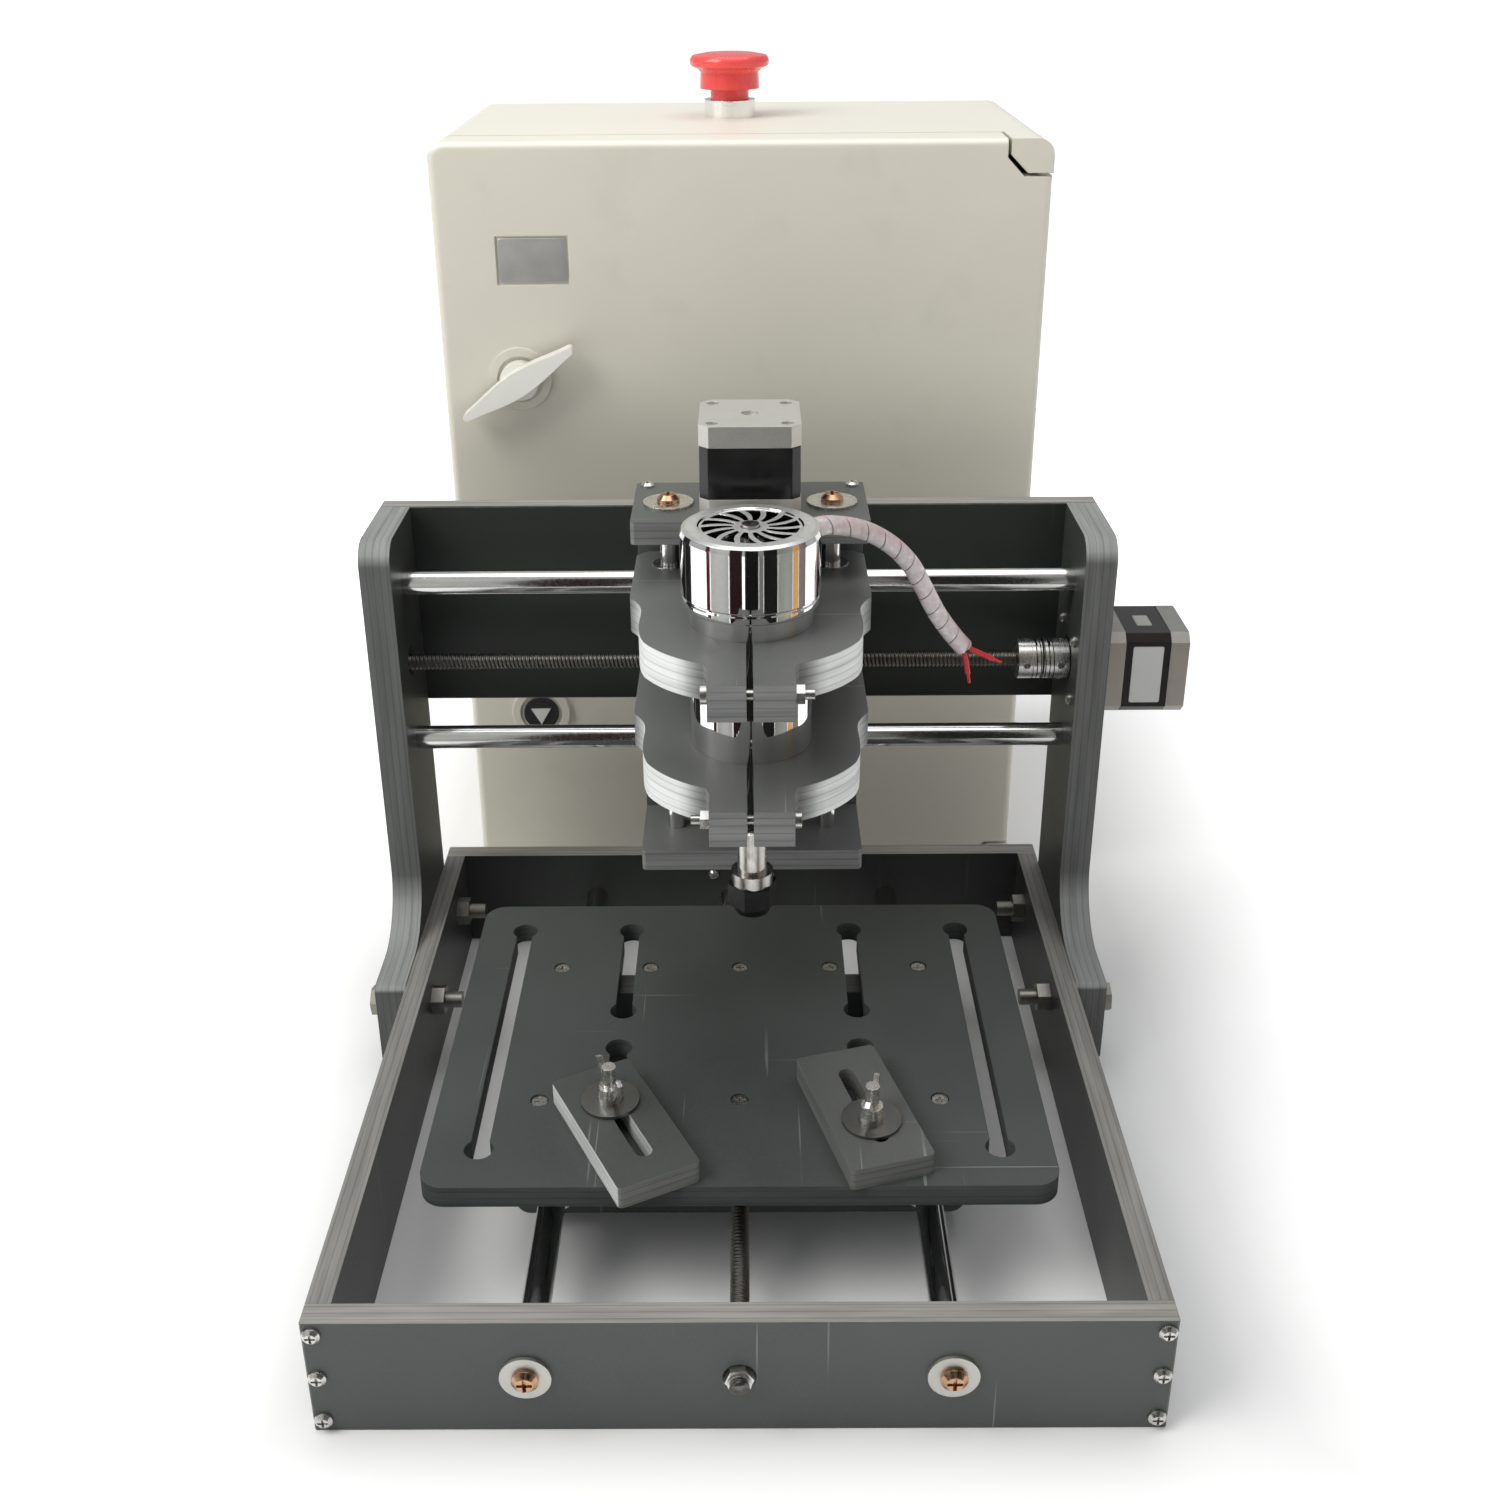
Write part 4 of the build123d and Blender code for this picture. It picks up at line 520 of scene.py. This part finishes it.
# ---------------------------------------------------------------- thin plates: badge and motor labels
def plate(name, origin, u, v, w, h, t, r, m, body):
    """rounded plate centred at origin, spanned by u and v, standing t proud, with a softened rim"""
    u, v = Vector(u), Vector(v)
    nrm = u.cross(v).normalized()
    ring = []
    for cx, cy, a0 in ((w / 2 - r, h / 2 - r, 0), (-w / 2 + r, h / 2 - r, 90), (-w / 2 + r, -h / 2 + r, 180), (w / 2 - r, -h / 2 + r, 270)):
        for k in range(7):
            a = math.radians(a0 + 15 * k)
            ring.append((cx + r * math.cos(a), cy + r * math.sin(a)))
    vs, k = [], len(ring)
    for inset, z in ((0, 0), (0, t * 0.6), (t * 0.5, t)):
        for x, y in ring:
            f = (1 - 2 * inset / w, 1 - 2 * inset / h)
            vs.append(Vector(origin) + u * x * f[0] + v * y * f[1] + nrm * z)
    fs = [tuple(reversed(range(k)))]
    for L in range(2):
        fs += [(L * k + q, L * k + (q + 1) % k, (L + 1) * k + (q + 1) % k, (L + 1) * k + q) for q in range(k)]
    fs.append(tuple(2 * k + q for q in range(k)))
    o = mesh(name, vs, fs, m, smooth=False)
    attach(o, body)
    return o


badge_m = metal("badge_foil", (0.74, 0.74, 0.72), (0.30, 0.45), scale=60, tint=0.10, dirt=0.08, bump=0.05)
label_m = plastic("label_paper", (0.40, 0.40, 0.385), (0.4, 0.55), grain=1500, var=0.06)
BADGE_Y = 415.9
badge = plate("badge_plate", mm(-107, BADGE_Y, 370.5), (1, 0, 0), (0, 0, 1), 0.0362, 0.0232, 0.0005, 0.002, badge_m, "door")
lo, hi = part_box("motor_cores")
l1 = plate("motor_label_front", mm(200.2, 298 - 20.9, 193.4), (1, 0, 0), (0, 0, 1), 0.0150, 0.0300, 0.0001, 0.001, label_m, "root")
l2 = plate("motor_label_top", mm(200.2, 296, 193.4 + 20.9), (1, 0, 0), (0, 1, 0), 0.0075, 0.0130, 0.0001, 0.0008, label_m, "root")

# ---------------------------------------------------------------- stage, light and camera
fm = G("studio_floor")
fn = fm.noise(3, 2)
fp = fm.xyz("Object")
fx = fm.math("SUBTRACT", fm.math("ABSOLUTE", fp[0]), 0.20)
fy = fm.math("SUBTRACT", fm.math("ABSOLUTE", fp[1]), 0.31)
glow = fm.ramp(fm.math("MAXIMUM", fx, fy), 0.0, 0.16, 0.0, 0.62)
fm.put(fm.b, "Emission Color", (1.0, 1.0, 1.0, 1.0))
fm.t.links.new(glow, fm.b.inputs["Emission Strength"])
floor_mat = fm.out(fm.mix(fm.ramp(fn, 0.3, 0.7), (0.90, 0.90, 0.895), (0.93, 0.93, 0.925)), 0.65, spec=0.2)
S = 30.0
floor = mesh("studio_floor", [(-S, -S, -0.0003), (S, -S, -0.0003), (S, S, -0.0003), (-S, S, -0.0003)], [(0, 1, 2, 3)], floor_mat, False)

# white sweep round the floor, so that low views have no horizon
sm = G("studio_sweep_paint")
sm.put(sm.b, "Emission Color", (1.0, 1.0, 1.0, 1.0))
sm.put(sm.b, "Emission Strength", 1.0)
sweep_mat = sm.out(sm.mix(sm.ramp(sm.noise(1, 2), 0.3, 0.7), (0.90, 0.90, 0.90), (0.92, 0.92, 0.92)), 0.9, spec=0.0)
sv, sf, sn = [], [], 48
for i in range(sn):
    a = 2 * math.pi * i / sn
    for z in (-0.01, 20.0):
        sv.append((14 * math.cos(a), 14 * math.sin(a), z))
for i in range(sn):
    j = (i + 1) % sn
    sf.append((2 * i, 2 * i + 1, 2 * j + 1, 2 * j))
sweep = mesh("studio_sweep", sv, sf, sweep_mat, True)
sweep.visible_diffuse = False
sweep.visible_glossy = False
sweep.visible_shadow = False


def area(name, loc, target, size, power, color=(1, 1, 1)):
    d = bpy.data.lights.new(name, "AREA")
    d.shape = "RECTANGLE"
    d.size, d.size_y = size
    d.energy = power
    d.color = color
    o = bpy.data.objects.new(name, d)
    bpy.context.scene.collection.objects.link(o)
    o.location = loc
    o.rotation_euler = (Vector(target) - Vector(loc)).to_track_quat("-Z", "Y").to_euler()
    return o


area("key", (-1.3, -0.7, 1.7), (0, 0, 0.2), (1.2, 1.2), 27, (1.0, 0.99, 0.97))
area("top", (0.1, 0.1, 2.0), (0, 0, 0.2), (1.6, 1.6), 14)

# cards standing in an arc in front of the spindle, seen only in reflections
def card(name, a0, a1, color, radius=0.33, z1=0.80):
    g = G(name + "_paint")
    m = g.out(g.mix(g.ramp(g.noise(4, 2), 0.3, 0.7), sc(color, 0.7), sc(color, 1.3)), 0.9, spec=0.1)
    cx, cy = (6.0 - OX) / 1000, (150.0 - OY) / 1000
    vs, fs, k = [], [], max(2, int(abs(a1 - a0) / 4))
    for i in range(k + 1):
        a = math.radians(a0 + (a1 - a0) * i / k)
        for z in (0.0, z1):
            vs.append((cx + radius * math.sin(a), cy - radius * math.cos(a), z))
    for i in range(k):
        fs.append((2 * i, 2 * i + 2, 2 * i + 3, 2 * i + 1))
    o = mesh(name, vs, fs, m, False)
    o.visible_camera = False
    o.visible_shadow = False
    o.visible_diffuse = False


card("card_maroon", -73, -66, (0.10, 0.02, 0.02))
card("card_grey_left", -65, -34, (0.60, 0.60, 0.58))
card("card_grey_mid", 12.5, 19.5, (0.22, 0.22, 0.21))
card("card_grey_right", 42.5, 68.5, (0.30, 0.30, 0.28))
card("card_grey_far", 80.5, 95.5, (0.20, 0.19, 0.18))
card("card_brown", -33, -13, (0.030, 0.014, 0.014))
card("card_centre", -9, 12, (0.008, 0.008, 0.007))
card("card_right", 20, 42, (0.010, 0.010, 0.009))
card("card_orange", 69, 80, (0.62, 0.36, 0.14))
card("card_edge_left", -128, -108, (0.03, 0.03, 0.028))

w = bpy.data.worlds.new("studio")
w.use_nodes = True
w.node_tree.nodes["Background"].inputs[0].default_value = (0.97, 0.98, 1.0, 1)
w.node_tree.nodes["Background"].inputs[1].default_value = 0.45
bpy.context.scene.world = w
bpy.context.scene.view_settings.view_transform = "Standard"

R = [[0.999973, 0.002049, -0.007123], [-0.005628, -0.415458, -0.909595], [-0.004823, 0.90961, -0.415435]]
cd = bpy.data.cameras.new("camera")
cd.sensor_width = 36
cd.sensor_fit = "HORIZONTAL"
cd.lens = 36 * 1651.1146 / 1500
cd.shift_x = (750 - 741.079) / 1500
cd.shift_y = (675.0 - 750) / 1500
cd.clip_start, cd.clip_end = 0.01, 100
cam = bpy.data.objects.new("camera", cd)
bpy.context.scene.collection.objects.link(cam)
rt, dn, fw = (Vector(r) for r in R)
m3 = Matrix((rt, -dn, -fw)).transposed()
loc = mm(5.13202, -460.83499, 531.50641)
cam.matrix_world = Matrix.Translation(loc) @ m3.to_4x4()
bpy.context.scene.camera = cam
